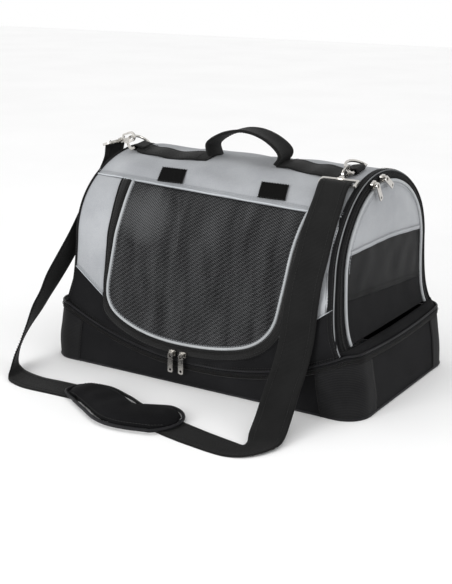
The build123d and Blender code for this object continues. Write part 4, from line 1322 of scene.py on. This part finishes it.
def shoulder_pad():
    """Stuffed pad that slides on the strap, with a bound edge and a stitched border."""
    along = np.linspace(0, 1, 64)[:, None] + np.zeros((1, 30))
    across = np.linspace(-1, 1, 30)[None] + np.zeros((64, 1))
    flat = pad_surface(along, across * 0.985)
    high = np.concatenate([flat, pad_height(along, across)[..., None]], 2)
    low = np.concatenate([flat, np.full(along.shape + (1,), 2.9 * MM)], 2)
    pad = closed_shell("shoulder_pad_body", high, low, PAD_CLOTH)
    inflate(pad, voxel=4 * MM, pressure=3.0, cap=4 * MM)
    flatten_below(pad, 2.6 * MM)
    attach(pad, "shoulder_pad")
    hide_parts("shoulder_pad")
    around = np.concatenate([np.stack([np.linspace(0, 1, 90), np.full(90, -1.0)], 1),
                             np.stack([np.ones(12), np.linspace(-1, 1, 12)], 1),
                             np.stack([np.linspace(1, 0, 90), np.full(90, 1.0)], 1),
                             np.stack([np.zeros(12), np.linspace(1, -1, 12)], 1)])
    edge = pad_surface(around[:, 0], around[:, 1], 0.8 * MM)
    edge = even(np.hstack([edge, np.full((len(edge), 1), 5.0 * MM)]), 3 * MM, closed=True)
    tube("shoulder_pad_binding", edge, 2.3 * MM, GLOSS_PIPING, "shoulder_pad", closed=True)
    share = np.linspace(0.07, 0.93, 120)
    for across_at in (-0.84, 0.84):
        flat = pad_surface(share, np.full(120, across_at))
        height = pad_height(share, np.full(120, across_at)) + 1.6 * MM
        sew("shoulder_pad", np.hstack([flat, height[:, None]]), [0, 0, 1])


def flatten_below(piece, floor):
    """Nothing of a piece that rests on something reaches below it."""
    points = vertex_array(piece.data)
    points[:, 2] = np.maximum(points[:, 2], floor)
    piece.data.vertices.foreach_set("co", points.ravel())
    piece.data.update()


def mat():
    """Plush mat in the tub, stuffed, with quilting lines."""
    side_gap = 5 * MM
    half_x, half_y = MAT_HIGH.x - side_gap, MAT_HIGH.y - side_gap
    middle = (MAT_LOW.z + MAT_HIGH.z) / 2
    x = np.linspace(-1, 1, 90)[None]
    y = np.linspace(-1, 1, 60)[:, None]
    squarish = 1 - 0.045 * (x**2 * y**2) ** 2
    flat = np.stack([x * half_x * squarish, y * half_y * squarish], 2)
    edge = np.clip(1 - np.maximum(np.abs(x), np.abs(y)) ** 14, 0, 1)
    quilt = 1 - 0.35 * np.exp(-(np.sin(flat[..., 0] / half_x * math.pi * 2) / 0.10) ** 2)
    high = np.concatenate([flat, (middle + 5.6 * MM * edge * quilt)[..., None]], 2)
    low = np.concatenate([flat, (middle - 6.2 * MM * edge)[..., None]], 2)
    cushion = closed_shell("plush_mat", high, low, PLUSH)
    inflate(cushion, voxel=6 * MM, pressure=2.0, cap=2 * MM)
    flatten_below(cushion, MAT_LOW.z + 0.2 * MM)
    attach(cushion, "mat")
    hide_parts("base_mat")


shoulder_pad()
mat()


# ---------------------------------------------------------------- hardware
def dress_hardware():
    """Bright plate on the metal, and the matt board under the mat."""
    metal = ("d_ring", "snap_hook", "hook_", "base_slider", "base_pull", "front_slider", "front_pull",
             "end_slider", "end_pull")
    looks = {name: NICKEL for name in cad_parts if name.startswith(metal)}
    looks["stiffening_board"] = BOARD
    for name, material in looks.items():
        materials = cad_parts[name].data.materials
        materials.clear()
        materials.append(material)


def ring_keepers():
    """Loops of webbing round the bars of the D-rings."""
    bar_z = SPRING + ARCH_RISE * math.sqrt(1 - (WEB_Y / ARCH_HALF) ** 2) + 5.2 * MM
    depth = np.linspace(-12, 12, 7) * MM
    tilt = depth * math.tan(math.radians(8))
    loop_radius, tail = 3.5 * MM, 14 * MM
    for side, sign in (("left", -1), ("right", 1)):
        bar_x = sign * 175 * MM
        loop = [(bar_x + sign * math.cos(a) * loop_radius, bar_z + math.sin(a) * loop_radius)
                for a in np.linspace(-2.7, 1.9, 18)]
        ends = [(bar_x - sign * tail, bar_z + height) for height in (-3.2 * MM, 1.0 * MM)]
        profile = smooth_path(ends[:1] + loop + ends[1:], 1.2 * MM)
        across = np.zeros((len(profile), len(depth)))
        points = np.stack([profile[:, :1] + across, WEB_Y + depth + across, profile[:, 1:] + tilt], 2)
        keeper = grid(f"ring_keeper_{side}", points, WEBBING, "upper", 1.3 * MM, outward=None,
                      offset=0)
        if sign < 0:
            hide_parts("ring_keepers")


dress_hardware()
ring_keepers()


# ---------------------------------------------------------------- stitches, floor and light
def finish_stitches():
    """Makes the stitches of each body and thread into one mesh."""
    looks = {THREAD_DARK.name: (THREAD_DARK, "black_fabric"),
             THREAD_LIGHT.name: (THREAD_LIGHT, "grey_fabric")}
    for (body, thread), places in sorted(stitches.items()):
        material, slot = looks[thread]
        bricks(f"stitches_{thread}_{body}", places, material, body, taper=0.5)


finish_stitches()


def studio():
    """Pale floor, white surroundings and broad soft lights."""
    half = 6.0
    mesh = bpy.data.meshes.new("floor")
    corners = [(-half, -half, 0), (half, -half, 0), (half, half, 0), (-half, half, 0)]
    mesh.from_pydata(corners, [], [(0, 1, 2, 3)])
    floor = bpy.data.objects.new("floor", mesh)
    bpy.context.scene.collection.objects.link(floor)
    n = Nodes("floor_paper")
    n.link(n.tint(n.noise(n.where(), 0.4), (0.93, 0.93, 0.93), (0.96, 0.96, 0.96)), "Base Color")
    n.plain(Roughness=0.9)
    mesh.materials.append(n.material)
    world = bpy.data.worlds.new("studio")
    bpy.context.scene.world = world
    world.use_nodes = True
    sky = world.node_tree.nodes["Background"]
    sky.inputs["Color"].default_value = (1, 1, 1, 1)
    sky.inputs["Strength"].default_value = 1.0
    for name, place, power in (("key", (-0.5, -2.3, 0.55), 30), ("fill", (2.3, -0.6, 0.5), 10)):
        data = bpy.data.lights.new(name, "AREA")
        data.size = 1.0
        data.energy = power
        lamp = bpy.data.objects.new(name, data)
        bpy.context.scene.collection.objects.link(lamp)
        lamp.location = place
        lamp.rotation_euler = vector_rotation(np.array([0, 0, 0.12]) - np.array(place))
    bpy.context.scene.view_settings.view_transform = "Standard"


def vector_rotation(aim):
    """Angles that point a lamp's own -Z along a direction."""
    flat = math.hypot(aim[0], aim[1])
    return (math.atan2(flat, -aim[2]), 0, math.atan2(aim[1], aim[0]) - math.pi / 2)


studio()
